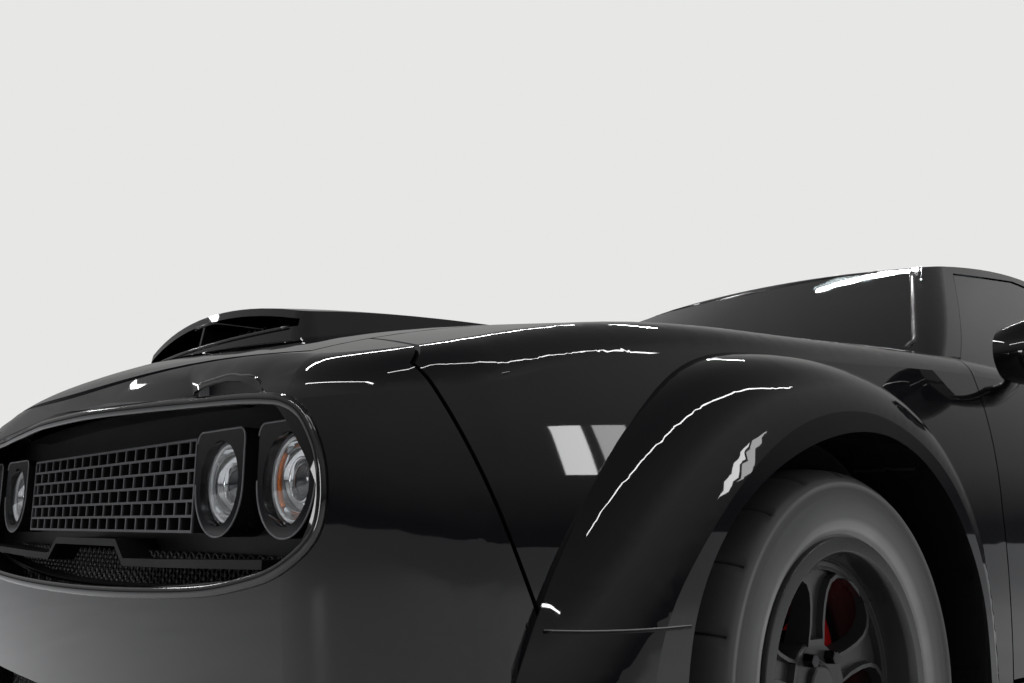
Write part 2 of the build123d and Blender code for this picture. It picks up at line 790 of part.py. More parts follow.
# Glass follows the cabin's surface, just under it
def glass_skin():
    with BuildPart() as skin_block:
        add(cabin(glass_inset, glass_inset))
        add(cabin(glass_inset + glass_thickness, glass_inset + glass_thickness), mode=Mode.SUBTRACT)
        add(outer_hull, mode=Mode.SUBTRACT)
    return skin_block.part


glass_shell = glass_skin()
with BuildPart() as fixed_glass:
    with BuildSketch(Plane.YZ.offset(350)):
        with BuildLine():
            Polyline(*quarter_window_points, close=True)
        make_face()
        offset(amount=-seat_gap)
    extrude(amount=750)
    mirror(about=Plane.YZ)
    add(window_blocks(seat_gap))
    add(glass_shell, mode=Mode.INTERSECT)
fixed_glass.part.label = "fixed_glass"
export_step(fixed_glass.part, "parts/fixed_glass.step")

# Doors with frameless glass and a mirror on an arm
mirror_y = -800.0
mirror_z = 990.0
mirror_x = 1010.0
with BuildPart() as door:
    add(outer_hull)
    add(side_prism(door_points, door_inner_x, 1100), mode=Mode.INTERSECT)

with BuildPart() as door_glass:
    with BuildSketch(Plane.YZ.offset(350)):
        with BuildLine():
            Polyline(*window_points, close=True)
        make_face()
        offset(amount=-lid_gap)
    extrude(amount=750)
    add(glass_shell, mode=Mode.INTERSECT)

with BuildPart() as door_mirror:
    with BuildSketch(Plane.YZ.offset(mirror_x - 75)):
        with Locations((mirror_y, mirror_z)):
            Ellipse(62, 58)
    with BuildSketch(Plane.YZ.offset(mirror_x + 40)):
        with Locations((mirror_y + 6, mirror_z)):
            Ellipse(58, 68)
    with BuildSketch(Plane.YZ.offset(mirror_x + 85)):
        with Locations((mirror_y + 18, mirror_z)):
            Ellipse(34, 44)
    loft()
    with BuildSketch(Plane.XZ.offset(-(mirror_y + 32))):
        Rectangle(3000, 3000)
    extrude(amount=-200, mode=Mode.SUBTRACT)
    with BuildSketch(Plane.YZ.offset(840)):
        with Locations((-738, 905)):
            Ellipse(44, 30)
    with BuildSketch(Plane.YZ.offset(900)):
        with Locations((-748, 915)):
            Ellipse(36, 21)
    with BuildSketch(Plane.YZ.offset(960)):
        with Locations((mirror_y + 4, mirror_z - 34)):
            Ellipse(26, 17)
    loft()
    add(outer_hull, mode=Mode.SUBTRACT)

for name, left in (("door", door), ("door_glass", door_glass), ("mirror", door_mirror)):
    left.part.label = name + "_left"
    export_step(left.part, "parts/" + name + "_left.step")
    with BuildPart() as right:
        mirror(left.part, about=Plane.YZ)
    right.part.label = name + "_right"
    export_step(right.part, "parts/" + name + "_right.step")

# Wheel flares: side views from the axle, where the blister leaves the body and at its outer crease
FLARE_FOOT = [
    (-704.0, -110.0),
    (-695.0, 20.0),
    (-657.0, 130.0),
    (-591.0, 247.0),
    (-471.0, 383.0),
    (-320.0, 487.0),
    (-147.0, 528.0),
    (33.0, 532.0),
    (200.0, 505.0),
    (345.0, 432.0),
    (440.0, 330.0),
    (495.0, 195.0),
    (500.0, 40.0),
    (480.0, -110.0),
]
FLARE_CREASE = [
    (-560.0, -110.0),
    (-546.0, 20.0),
    (-514.0, 130.0),
    (-439.0, 226.0),
    (-330.0, 325.0),
    (-200.0, 402.0),
    (-70.0, 437.0),
    (50.0, 440.0),
    (165.0, 414.0),
    (275.0, 360.0),
    (360.0, 275.0),
    (412.0, 165.0),
    (426.0, 40.0),
    (418.0, -110.0),
]
# Cross-section of the blister: x, and how far it has come from the foot to the crease
FLARE_SECTION = [(800.0, -0.30), (925.0, 0.0), (966.0, 0.25), (990.0, 0.62), (flare_reach, 1.0)]
with BuildPart() as wheel_flares:
    for axle, direction, opening in ((front_axle_y, 1, front_arch), (rear_axle_y, -1, rear_arch)):
        with BuildPart(mode=Mode.PRIVATE) as blister:
            for x, share in FLARE_SECTION:
                edge = [
                    (axle + direction * (fy + share * (cy - fy)), wheel_z + fz + share * (cz - fz))
                    for (fy, fz), (cy, cz) in zip(FLARE_FOOT, FLARE_CREASE)
                ]
                with BuildSketch(Plane.YZ.offset(x)):
                    with BuildLine():
                        Spline(*edge)
                        Line(edge[-1], edge[0])
                    make_face()
            loft()
            add(opening, mode=Mode.SUBTRACT)
            add(outer_hull, mode=Mode.SUBTRACT)
        add(blister.part)
    mirror(about=Plane.YZ)
wheel_flares.part.label = "wheel_flares"
export_step(wheel_flares.part, "parts/wheel_flares.step")

# Sills between the arches
with BuildPart() as sills:
    add(outer_hull)
    with BuildSketch(Plane.XY.offset(110)):
        with Locations((0, (front_axle_y + rear_axle_y) / 2)):
            Rectangle(2200, wheelbase)
            Rectangle(2 * sill_inner_x, 4000, mode=Mode.SUBTRACT)
    extrude(amount=sill_top - panel_gap - 110, mode=Mode.INTERSECT)
    add(front_arch, mode=Mode.SUBTRACT)
    add(rear_arch, mode=Mode.SUBTRACT)
sills.part.label = "sills"
export_step(sills.part, "parts/sills.step")

# Floor pan: seat floor with a slot for the tunnel, step under the rear seat and trunk floor
floor_half = sill_inner_x - seat_gap
well_half = rear_well_x - seat_gap
firewall_y = -775.0
firewall_thickness = 20.0
floor_front_y = firewall_y + seat_gap
rear_floor_y = 1180.0
narrow_y = 970.0
rear_floor_z = 470.0
trunk_floor_end_y = 2380.0
step_front_y = rear_floor_y - floor_thickness
tunnel_half = 130.0
tunnel_top = 335.0
tunnel_corner = 40.0
tunnel_wall = 12.0


# The tunnel's cross-section, grown by a gap, on a plane across the car
def tunnel_outline(grow):
    with BuildSketch() as outline:
        with Locations((0, (floor_z + tunnel_top + grow) / 2)):
            Rectangle(2 * (tunnel_half + grow), tunnel_top + grow - floor_z)
        fillet(outline.vertices().group_by(Axis.Y)[-1], tunnel_corner + grow)
    return outline.sketch


with BuildPart() as floor_pan:
    with BuildSketch(Plane.XY.offset(floor_z)):
        with Locations((0, (floor_front_y + narrow_y) / 2)):
            Rectangle(2 * floor_half, narrow_y - floor_front_y)
        with Locations((0, (narrow_y + rear_floor_y) / 2)):
            Rectangle(2 * well_half, rear_floor_y - narrow_y)
        with Locations((0, (floor_front_y + step_front_y) / 2)):
            Rectangle(2 * (tunnel_half + seat_gap), step_front_y - floor_front_y, mode=Mode.SUBTRACT)
    extrude(amount=floor_thickness)
    with BuildSketch(Plane.XZ.offset(-rear_floor_y)):
        with Locations((0, (floor_z + rear_floor_z) / 2)):
            Rectangle(2 * well_half, rear_floor_z - floor_z)
    extrude(amount=floor_thickness)
    with BuildSketch(Plane.XY.offset(rear_floor_z - floor_thickness)):
        with Locations((0, (step_front_y + trunk_floor_end_y) / 2)):
            Rectangle(2 * well_half, trunk_floor_end_y - step_front_y)
    extrude(amount=floor_thickness)
    with BuildSketch(Plane.XZ.offset(-step_front_y + 10)):
        add(tunnel_outline(-tunnel_wall))
    extrude(amount=-(floor_thickness + 20), mode=Mode.SUBTRACT)
floor_pan.part.label = "floor_pan"
export_step(floor_pan.part, "parts/floor_pan.step")

# Tunnel over the exhaust pipes, from the firewall to the step
with BuildPart() as tunnel:
    with BuildSketch(Plane.XZ.offset(-floor_front_y)):
        add(tunnel_outline(0))
    extrude(amount=-(step_front_y - seat_gap - floor_front_y))
    with BuildSketch(Plane.XZ.offset(-floor_front_y + 10)):
        add(tunnel_outline(-tunnel_wall))
        with Locations((0, floor_z)):
            Rectangle(2 * (tunnel_half - tunnel_wall), 60)
    extrude(amount=-(step_front_y - floor_front_y + 20), mode=Mode.SUBTRACT)
tunnel.part.label = "tunnel"
export_step(tunnel.part, "parts/tunnel.step")

# Firewall, and the bulkhead behind the rear seat with its parcel shelf
firewall_top = 975.0
bulkhead_y = 1330.0
bulkhead_thickness = 15.0
shelf_z = 1000.0
shelf_thickness = 12.0
shelf_end_y = lid_front_y - 8.0
with BuildPart() as bulkheads:
    with BuildSketch(Plane.XZ.offset(-firewall_y)):
        with Locations((0, (floor_z + firewall_top) / 2)):
            Rectangle(2 * floor_half, firewall_top - floor_z)
    extrude(amount=firewall_thickness)
    with BuildSketch(Plane.XZ.offset(-(firewall_y + 10))):
        add(tunnel_outline(-tunnel_wall))
        with Locations((0, floor_z)):
            Rectangle(2 * (tunnel_half - tunnel_wall), 60)
    extrude(amount=firewall_thickness + 20, mode=Mode.SUBTRACT)
    with BuildSketch(Plane.XZ.offset(-bulkhead_y)):
        with Locations((0, (rear_floor_z + seat_gap + shelf_z) / 2)):
            Rectangle(2 * well_half, shelf_z - rear_floor_z - seat_gap)
    extrude(amount=bulkhead_thickness)
    with BuildSketch(Plane.XY.offset(shelf_z)):
        with Locations((0, (bulkhead_y - bulkhead_thickness + shelf_end_y) / 2)):
            Rectangle(2 * well_half, shelf_end_y - bulkhead_y + bulkhead_thickness)
    extrude(amount=shelf_thickness)
bulkheads.part.label = "bulkheads"
export_step(bulkheads.part, "parts/bulkheads.step")

# Front rails from the firewall to the crossbar under the radiator
rail_x = 405.0
rail_low_z = 300.0
rail_height = 100.0
crossbar_y = -2200.0
crossbar_depth = 60.0
crossbar_half = 555.0
rail_half = front_well_x - seat_gap - rail_x
rail_rear_y = firewall_y - firewall_thickness - seat_gap
with BuildPart() as front_rails:
    with BuildSketch(Plane.XY.offset(rail_low_z)):
        for side in (-1, 1):
            with Locations((side * rail_x, (crossbar_y + rail_rear_y) / 2)):
                Rectangle(2 * rail_half, rail_rear_y - crossbar_y)
        with Locations((0, crossbar_y - crossbar_depth / 2)):
            Rectangle(2 * crossbar_half, crossbar_depth)
    extrude(amount=rail_height)
front_rails.part.label = "front_rails"
export_step(front_rails.part, "parts/front_rails.step")

# Wheel liners: a hoop over each wheel's opening with an inner wall that is open round the shafts
liner_gap = 4.0
liner_outer_x = 832.0
shaft_opening_length = 240.0
shaft_opening_height = 210.0
for name, y, direction, well_x in (
    ("front_liners", front_axle_y, 1, front_well_x),
    ("rear_liners", rear_axle_y, -1, rear_well_x),
):
    with BuildPart() as liners:
        add(arch_block(y, direction, liner_gap + liner_thickness))
        add(arch_block(y, direction, liner_gap), mode=Mode.SUBTRACT)
        with BuildSketch(Plane.YZ.offset(well_x)):
            add(arch_outline(y, direction, liner_gap + 1))
            with Locations((y, wheel_z)):
                Rectangle(shaft_opening_length, 2 * shaft_opening_height, mode=Mode.SUBTRACT)
        extrude(amount=liner_thickness)
        with BuildSketch(Plane.XY.offset(wheel_z)):
            with Locations(((well_x + liner_outer_x) / 2, y)):
                Rectangle(liner_outer_x - well_x, 1200)
        extrude(amount=600, mode=Mode.INTERSECT)
        mirror(about=Plane.YZ)
    liners.part.label = name
    export_step(liners.part, "parts/" + name + ".step")

# Engine as one plain block, standing on its cradle
engine_z = 270.0
with BuildPart() as engine:
    with BuildSketch(Plane.XY.offset(engine_z)):
        with Locations((0, -1400)):
            Rectangle(420, 620)
    extrude(amount=250)
    with BuildSketch(Plane.XY.offset(engine_z + 250)):
        with Locations((0, -1400)):
            Rectangle(560, 560)
    extrude(amount=260)
    chamfer(engine.edges().group_by(Axis.Z)[-1], 40)
engine.part.label = "engine"
export_step(engine.part, "parts/engine.step")

# Radiator standing on the front crossbar
with BuildPart() as radiator:
    with BuildSketch(Plane.XZ.offset(-crossbar_y)):
        with Locations((0, rail_low_z + rail_height + seat_gap + 320 / 2)):
            Rectangle(760, 320)
    extrude(amount=38)
radiator.part.label = "radiator"
export_step(radiator.part, "parts/radiator.step")

# Front cradle with its arms; each outer pad is a hollow curve round the steering axis
arm_z = 247.0
upper_arm_z = 462.0
arm_thickness = 22.0
pad_radius = 150.0
pad_thickness = 22.0
tower_half = 19.0
tower_x = rail_x - rail_half - seat_gap - tower_half
with BuildPart() as front_cradle:
    with BuildSketch(Plane.XY.offset(engine_z - 70)):
        with Locations((0, front_axle_y + 60)):
            Rectangle(750, 420)
            Rectangle(480, 200, mode=Mode.SUBTRACT)
    extrude(amount=70 - seat_gap)
    for side in (-1, 1):
        for z in (arm_z, upper_arm_z):
            with BuildSketch(Plane.XY.offset(z - arm_thickness / 2)):
                with BuildLine():
                    Polyline(
                        (side * 350, front_axle_y - 100),
                        (side * 445, front_axle_y - 100),
                        (side * 625, front_axle_y - 40),
                        (side * 625, front_axle_y + 40),
                        (side * 445, front_axle_y + 100),
                        (side * 350, front_axle_y + 100),
                        close=True,
                    )
                make_face()
                with BuildLine():
                    Polyline(
                        (side * 450, front_axle_y - 50),
                        (side * 560, front_axle_y - 18),
                        (side * 560, front_axle_y + 18),
                        (side * 450, front_axle_y + 50),
                        close=True,
                    )
                make_face(mode=Mode.SUBTRACT)
            extrude(amount=arm_thickness)
        with BuildSketch(Plane.XY.offset(arm_z - arm_thickness / 2)):
            with Locations((side * 612, front_axle_y)):
                Rectangle(60, 90)
            with Locations((side * kingpin_x, front_axle_y)):
                Circle(pad_radius + seat_gap, mode=Mode.SUBTRACT)
        extrude(amount=upper_arm_z - arm_z + arm_thickness)
        with BuildSketch(Plane.XY.offset(upper_arm_z - arm_thickness / 2)):
            with Locations((side * kingpin_x, front_axle_y)):
                Circle(pad_radius + seat_gap)
        extrude(amount=arm_thickness, mode=Mode.SUBTRACT)
        with BuildSketch(Plane.XY.offset(arm_z - arm_thickness / 2)):
            with Locations((side * kingpin_x, front_axle_y)):
                Circle(pad_radius + seat_gap)
        extrude(amount=arm_thickness, mode=Mode.SUBTRACT)
        with BuildSketch(Plane.XY.offset(engine_z - 70)):
            with Locations((side * tower_x, front_axle_y)):
                Rectangle(2 * tower_half, 200)
        extrude(amount=upper_arm_z + arm_thickness / 2 - engine_z + 70)
front_cradle.part.label = "front_cradle"
export_step(front_cradle.part, "parts/front_cradle.step")

# Rear cradle, differential, half shafts and wheel carriers in one piece
carrier_x = 672.0
stub_end_x = 792.0
with BuildPart() as rear_cradle:
    with BuildSketch(Plane.XY.offset(wheel_z - 50)):
        with Locations((0, rear_axle_y)):
            Rectangle(1060, 420)
            Rectangle(760, 180, mode=Mode.SUBTRACT)
    extrude(amount=66)
    with BuildSketch(Plane.YZ.offset(-130)):
        with Locations((rear_axle_y, wheel_z)):
            Circle(95)
    extrude(amount=260)
    with BuildSketch(Plane.YZ.offset(-stub_end_x)):
        with Locations((rear_axle_y, wheel_z)):
            Circle(bore_radius - seat_gap)
    extrude(amount=2 * stub_end_x)
    for side in (-1, 1):
        with BuildSketch(Plane.YZ.offset(side * carrier_x)):
            with Locations((rear_axle_y, wheel_z)):
                RectangleRounded(130, 300, 30)
        extrude(amount=side * 22)
        with BuildSketch(Plane.XY.offset(wheel_z - 50)):
            with Locations((side * 600, rear_axle_y)):
                Rectangle(200, 110)
        extrude(amount=40)
rear_cradle.part.label = "rear_cradle"
export_step(rear_cradle.part, "parts/rear_cradle.step")

# Twin exhaust, mufflers and tips, hung by short rods under the trunk floor
hanger_radius = 5.0
with BuildPart() as exhaust:
    for side in (-1, 1):
        with BuildLine() as run:
            FilletPolyline(
                (side * pipe_x, -1040, pipe_z),
                (side * pipe_x, 1560, pipe_z),
                (side * tip_x, 1830, tip_z),
                (side * tip_x, muffler_y, tip_z),
                radius=90,
            )
        with BuildSketch(Plane(origin=run.line @ 0, z_dir=run.line % 0)):
            Circle(pipe_radius)
        sweep(path=run.line)
        with BuildSketch(Plane.XZ.offset(-(muffler_y - 190))):
            with Locations((side * tip_x, tip_z)):
                RectangleRounded(220, 170, 70)
        extrude(amount=-400)
        with BuildSketch(Plane.XZ.offset(-(muffler_y + 200))):
            with Locations((side * tip_x, tip_z)):
                Circle(tip_radius)
        extrude(amount=-(tail_y - 42 - muffler_y - 200))
        with BuildSketch(Plane.XZ.offset(-(tail_y - 42))):
            with Locations((side * tip_x, tip_z)):
                Circle(tip_radius - 3)
        extrude(amount=150, mode=Mode.SUBTRACT)
        with BuildSketch(Plane.XY.offset(tip_z)):
            for hanger_y in (muffler_y - 120, muffler_y + 120):
                with Locations((side * tip_x, hanger_y)):
                    Circle(hanger_radius)
        extrude(amount=rear_floor_z - floor_thickness - seat_gap - tip_z)
exhaust.part.label = "exhaust"
export_step(exhaust.part, "parts/exhaust.step")

# Dashboard with its console between the seats
with BuildPart() as dashboard:
    with BuildSketch(Plane.YZ.offset(-700)) as dash:
        with BuildLine():
            Polyline((floor_front_y, 700), (floor_front_y, 968), (-700, 985), (-560, 950), (-500, 860), (-560, 700))
            Line((-560, 700), (floor_front_y, 700))
        make_face()
        fillet(dash.vertices().sort_by(Axis.X)[-3:], 25)
    extrude(amount=1400)
    with BuildSketch(Plane.YZ.offset(-125)):
        with BuildLine():
            Polyline((floor_front_y, 340), (floor_front_y, 750), (-530, 750), (-430, 560), (250, 530), (300, 340))
            Line((300, 340), (floor_front_y, 340))
        make_face()
    extrude(amount=250)
dashboard.part.label = "dashboard"
export_step(dashboard.part, "parts/dashboard.step")

# Steering wheel on its column, left-hand drive
seat_x = 370.0
seat_half = 235.0
column = Plane(origin=(seat_x, -335, 890), x_dir=(1, 0, 0), z_dir=(0, 0.94, 0.34))
with BuildPart() as steering_wheel:
    with BuildSketch(Plane(origin=column.origin, x_dir=column.z_dir, z_dir=(-1, 0, 0))) as rim_section:
        with Locations((0, 180)):
            Ellipse(15, 16)
    revolve(axis=Axis(column.origin, column.z_dir))
    with BuildSketch(column):
        Rectangle(340, 44)
        with Locations((0, -80)):
            Rectangle(40, 180)
        Circle(58)
    extrude(amount=14, both=True)
    with BuildSketch(column):
        Circle(26)
    extrude(amount=-245)
    add(dashboard.part, mode=Mode.SUBTRACT)
steering_wheel.part.label = "steering_wheel"
export_step(steering_wheel.part, "parts/steering_wheel.step")

# Two front bucket seats: cushion, raked back and head restraint in one side view
seat_top = floor_z + floor_thickness
with BuildPart() as front_seats:
    with BuildSketch(Plane.YZ.offset(seat_x - seat_half)) as profile:
        with BuildLine():
            Polyline(
                (-330, seat_top),
                (-345, 440),
                (-320, 500),
                (110, 445),
                (330, 1010),
                (350, 1170),
                (440, 1170),
                (430, 1000),
                (250, 430),
                (200, seat_top),
                close=True,
            )
        make_face()
        fillet(profile.vertices().sort_by(Axis.Y)[2:], 22)
    extrude(amount=2 * seat_half)
    mirror(about=Plane.YZ)
front_seats.part.label = "front_seats"
export_step(front_seats.part, "parts/front_seats.step")

# Rear bench
with BuildPart() as rear_seat:
    with BuildSketch(Plane.YZ.offset(-590)) as bench:
        with BuildLine():
            Polyline(
                (620, seat_top),
                (600, 420),
                (640, 470),
                (1080, 440),
                (1250, 960),
                (1314, 960),
                (1314, rear_floor_z + seat_gap),
                (rear_floor_y - 20 - seat_gap, rear_floor_z + seat_gap),
                (rear_floor_y - 20 - seat_gap, seat_top),
                close=True,
            )
        make_face()
        fillet(bench.vertices().group_by(Axis.Y)[-1], 25)
    extrude(amount=1180)
    with BuildSketch(Plane.XZ.offset(-400)):
        add(tunnel_outline(seat_gap))
    extrude(amount=-(rear_floor_y - 400), mode=Mode.SUBTRACT)
rear_seat.part.label = "rear_seat"
export_step(rear_seat.part, "parts/rear_seat.step")

# Front knuckle: its inner face curves round the steering axis; it carries stub axle and caliper
knuckle_height = 200.0
with BuildPart() as knuckle:
    with BuildSketch(Plane.XY.offset(wheel_z - knuckle_height / 2)):
        with Locations((kingpin_x, front_axle_y)):
            Circle(pad_radius)
            Circle(pad_radius - 34, mode=Mode.SUBTRACT)
        with Locations((kingpin_x - pad_radius, front_axle_y)):
            Rectangle(120, 100, mode=Mode.INTERSECT)
    extrude(amount=knuckle_height)
    with BuildSketch(Plane.YZ.offset(kingpin_x - pad_radius + 16)):
        with Locations((front_axle_y, wheel_z)):
            Circle(bore_radius - seat_gap)
    extrude(amount=stub_end_x - kingpin_x + pad_radius - 16)

with BuildPart() as caliper:
    with BuildSketch(Plane.YZ.offset(disc_x - caliper_reach)):
        with Locations((front_axle_y, wheel_z)):
            Circle(caliper_outer)
            Circle(caliper_inner, mode=Mode.SUBTRACT)
    extrude(amount=2 * caliper_reach)
    with BuildSketch(Plane.YZ.offset(500)):
        with BuildLine():
            Polyline(
                (front_axle_y, wheel_z + 20),
                (front_axle_y + 260, wheel_z - 60),
                (front_axle_y + 260, wheel_z + 190),
                close=True,
            )
        make_face()
    extrude(amount=500, mode=Mode.INTERSECT)
    fillet(caliper.edges().filter_by(GeomType.CIRCLE), 8)
    with BuildSketch(Plane.YZ.offset(disc_x - disc_thickness / 2 - panel_gap)):
        with Locations((front_axle_y, wheel_z)):
            Circle(disc_radius + panel_gap)
    extrude(amount=disc_thickness + 2 * panel_gap, mode=Mode.SUBTRACT)

for name, left in (("knuckle", knuckle), ("caliper", caliper)):
    left.part.label = name + "_left"
    export_step(left.part, "parts/" + name + "_left.step")
    with BuildPart() as right:
        mirror(left.part, about=Plane.YZ)
    right.part.label = name + "_right"
    export_step(right.part, "parts/" + name + "_right.step")

# One wheel, front left; the section plane has x outboard from the wheel's centre and y up
spoke_plane_out = 104.0
half = tyre_width / 2
centre = (wheel_centre_x, front_axle_y, wheel_z)
section = Plane(origin=centre, x_dir=(1, 0, 0), z_dir=(0, -1, 0))
spin = Axis(centre, (1, 0, 0))
face_plane = Plane(origin=centre, x_dir=(0, 1, 0), z_dir=(1, 0, 0))

with BuildPart() as tyre:
    with BuildSketch(section):
        with BuildLine():
            Line((112, 229.3), (137.6, 229.3))
            Line((137.6, 229.3), (137.6, 243))
            ThreePointArc((137.6, 243), (half - 5, 264), (half, 294))
            ThreePointArc((half, 294), (half - 6, 328), (half - 24, 346.5))
            ThreePointArc((half - 24, 346.5), (0, tyre_radius), (24 - half, 346.5))
            ThreePointArc((24 - half, 346.5), (6 - half, 328), (-half, 294))
            ThreePointArc((-half, 294), (5 - half, 264), (-137.6, 243))
            Line((-137.6, 243), (-137.6, 229.3))
            Line((-137.6, 229.3), (-112, 229.3))
            Line((-112, 229.3), (-116, 244))
            ThreePointArc((-116, 244), (-144, 292), (-118, 334))
            ThreePointArc((-118, 334), (0, 340), (118, 334))
            ThreePointArc((118, 334), (144, 292), (116, 244))
            Line((116, 244), (112, 229.3))
        make_face()
    revolve(axis=spin)

with BuildPart() as rim:
    with BuildSketch(section):
        with BuildLine():
            Polyline(
                (150, rim_radius),
                (140, rim_radius),
                (138, 229),
                (112, 229),
                (92, 213),
                (-92, 213),
                (-112, 229),
                (-138, 229),
                (-140, rim_radius),
                (-150, rim_radius),
                (-150, 232),
                (-134, 220),
                (-112, 220),
                (-86, 205),
                (64, 205),
                (78, 194),
                (spoke_plane_out, 194),
                (spoke_plane_out + 6, 204),
                (142, 214),
                (150, 221),
                close=True,
            )
        make_face()
    revolve(axis=spin)
    for k in range(spoke_count):
        with BuildSketch(section.rotated((360.0 / spoke_count * k, 0, 0))):
            with BuildLine():
                Polyline((84, 40), (96, 120), (spoke_plane_out, 198), (76, 198), (52, 110), (40, 40), close=True)
            make_face()
        extrude(amount=26, both=True)
    with BuildSketch(face_plane.offset(disc_x - wheel_centre_x - disc_thickness / 2)):
        Circle(disc_radius)
    extrude(amount=disc_thickness)
    with BuildSketch(face_plane.offset(disc_x - wheel_centre_x - disc_thickness / 2)):
        Circle(hub_radius)
    extrude(amount=92 + wheel_centre_x - disc_x + disc_thickness / 2)
    with BuildSketch(face_plane.offset(disc_x - wheel_centre_x - 60)):
        Circle(bore_radius)
    extrude(amount=stub_end_x + seat_gap - disc_x + 60, mode=Mode.SUBTRACT)
    with BuildSketch(face_plane.offset(130)):
        with PolarLocations(142, spoke_count, start_angle=90):
            Trapezoid(76, 30, 96, rotation=90)
    extrude(amount=-46, mode=Mode.SUBTRACT)

# The other three wheels are moved and mirrored copies
for place, side, axle in (
    ("front_left", 1, front_axle_y),
    ("front_right", -1, front_axle_y),
    ("rear_left", 1, rear_axle_y),
    ("rear_right", -1, rear_axle_y),
):
    for name, master in (("tyre", tyre), ("rim", rim)):
        moved = master.part.moved(Location((0, axle - front_axle_y, 0)))
        with BuildPart() as piece:
            if side > 0:
                add(moved)
            else:
                mirror(moved, about=Plane.YZ)
        piece.part.label = name + "_" + place
        export_step(piece.part, "parts/" + name + "_" + place + ".step")

# Dark valance under the tail, between and beside the exhaust tips
with BuildPart() as rear_valance:
    with BuildSketch(Plane.XZ.offset(-tail_y)):
        with Locations((0, 190)):
            RectangleRounded(660, 150, 20)
    extrude(amount=110)
    add(outer_hull, mode=Mode.SUBTRACT)
rear_valance.part.label = "rear_valance"
export_step(rear_valance.part, "parts/rear_valance.step")
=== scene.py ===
import math

import bmesh
import bpy
from mathutils import Matrix, Vector


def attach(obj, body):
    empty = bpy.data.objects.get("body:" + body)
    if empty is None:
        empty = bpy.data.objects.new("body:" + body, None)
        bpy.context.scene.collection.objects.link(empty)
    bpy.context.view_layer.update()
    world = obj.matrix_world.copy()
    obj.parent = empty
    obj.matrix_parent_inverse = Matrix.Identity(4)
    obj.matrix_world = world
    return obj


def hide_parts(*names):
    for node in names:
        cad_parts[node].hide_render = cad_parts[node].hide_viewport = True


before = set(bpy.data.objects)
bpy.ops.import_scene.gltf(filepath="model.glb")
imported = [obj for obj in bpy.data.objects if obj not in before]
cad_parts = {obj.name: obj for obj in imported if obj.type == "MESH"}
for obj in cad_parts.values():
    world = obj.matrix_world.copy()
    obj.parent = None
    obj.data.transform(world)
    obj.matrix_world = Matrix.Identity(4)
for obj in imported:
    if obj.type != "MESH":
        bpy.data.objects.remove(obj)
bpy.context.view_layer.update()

# Camera at the left front corner, low beside the nose and looking up along the hood, as the
# photograph was taken; its place was fitted to the lamps, seams, arch and windshield.
camera_place = Vector((1.805, -3.039, 0.607))
camera_turn = math.radians(48.42)
camera_rise = math.radians(10.81)
camera_roll = math.radians(0.34)
camera = bpy.data.objects.new("photo_camera", bpy.data.cameras.new("photo_camera"))
bpy.context.scene.collection.objects.link(camera)
camera.data.sensor_width = 36.0
camera.data.lens = 34.25
camera.matrix_world = (
    Matrix.Translation(camera_place)
    @ Matrix.Rotation(camera_turn, 4, "Z")
    @ Matrix.Rotation(math.pi / 2 + camera_rise, 4, "X")
    @ Matrix.Rotation(camera_roll, 4, "Z")
)
bpy.context.scene.camera = camera
bpy.context.scene.view_settings.view_transform = "Standard"


# Outer panels: pressed steel and moulded bumper skins in gloss black paint with faint orange peel, bolted
# or clipped on at their seams. The surface grain that they share with most other finishes is a slow
# mottling for tone and roughness and a fine relief.
def build_surface_grain():
    group = bpy.data.node_groups.new("surface_grain", "ShaderNodeTree")
    for name, value in (("Coarse Scale", 3.0), ("Fine Scale", 300.0), ("Low", 0.3), ("High", 0.5)):
        socket = group.interface.new_socket(name, in_out="INPUT", socket_type="NodeSocketFloat")
        socket.default_value = value
    for name in ("Roughness", "Relief", "Mottle"):
        group.interface.new_socket(name, in_out="OUTPUT", socket_type="NodeSocketFloat")
    inputs = group.nodes.new("NodeGroupInput")
    outputs = group.nodes.new("NodeGroupOutput")
    place = group.nodes.new("ShaderNodeTexCoord")
    coarse = group.nodes.new("ShaderNodeTexNoise")
    coarse.inputs["Detail"].default_value = 4.0
    fine = group.nodes.new("ShaderNodeTexNoise")
    fine.inputs["Detail"].default_value = 2.0
    spread = group.nodes.new("ShaderNodeMapRange")
    spread.inputs["From Min"].default_value = 0.35
    spread.inputs["From Max"].default_value = 0.65
    wire(place, "Object", coarse, "Vector")
    wire(place, "Object", fine, "Vector")
    wire(inputs, "Coarse Scale", coarse, "Scale")
    wire(inputs, "Fine Scale", fine, "Scale")
    wire(coarse, "Fac", spread, "Value")
    wire(inputs, "Low", spread, "To Min")
    wire(inputs, "High", spread, "To Max")
    wire(spread, "Result", outputs, "Roughness")
    wire(fine, "Fac", outputs, "Relief")
    wire(coarse, "Fac", outputs, "Mottle")
    return group


# Joins an output of one node to an input of another
def wire(source, output, target, entry):
    source.id_data.links.new(source.outputs[output], target.inputs[entry])


surface_grain = build_surface_grain()


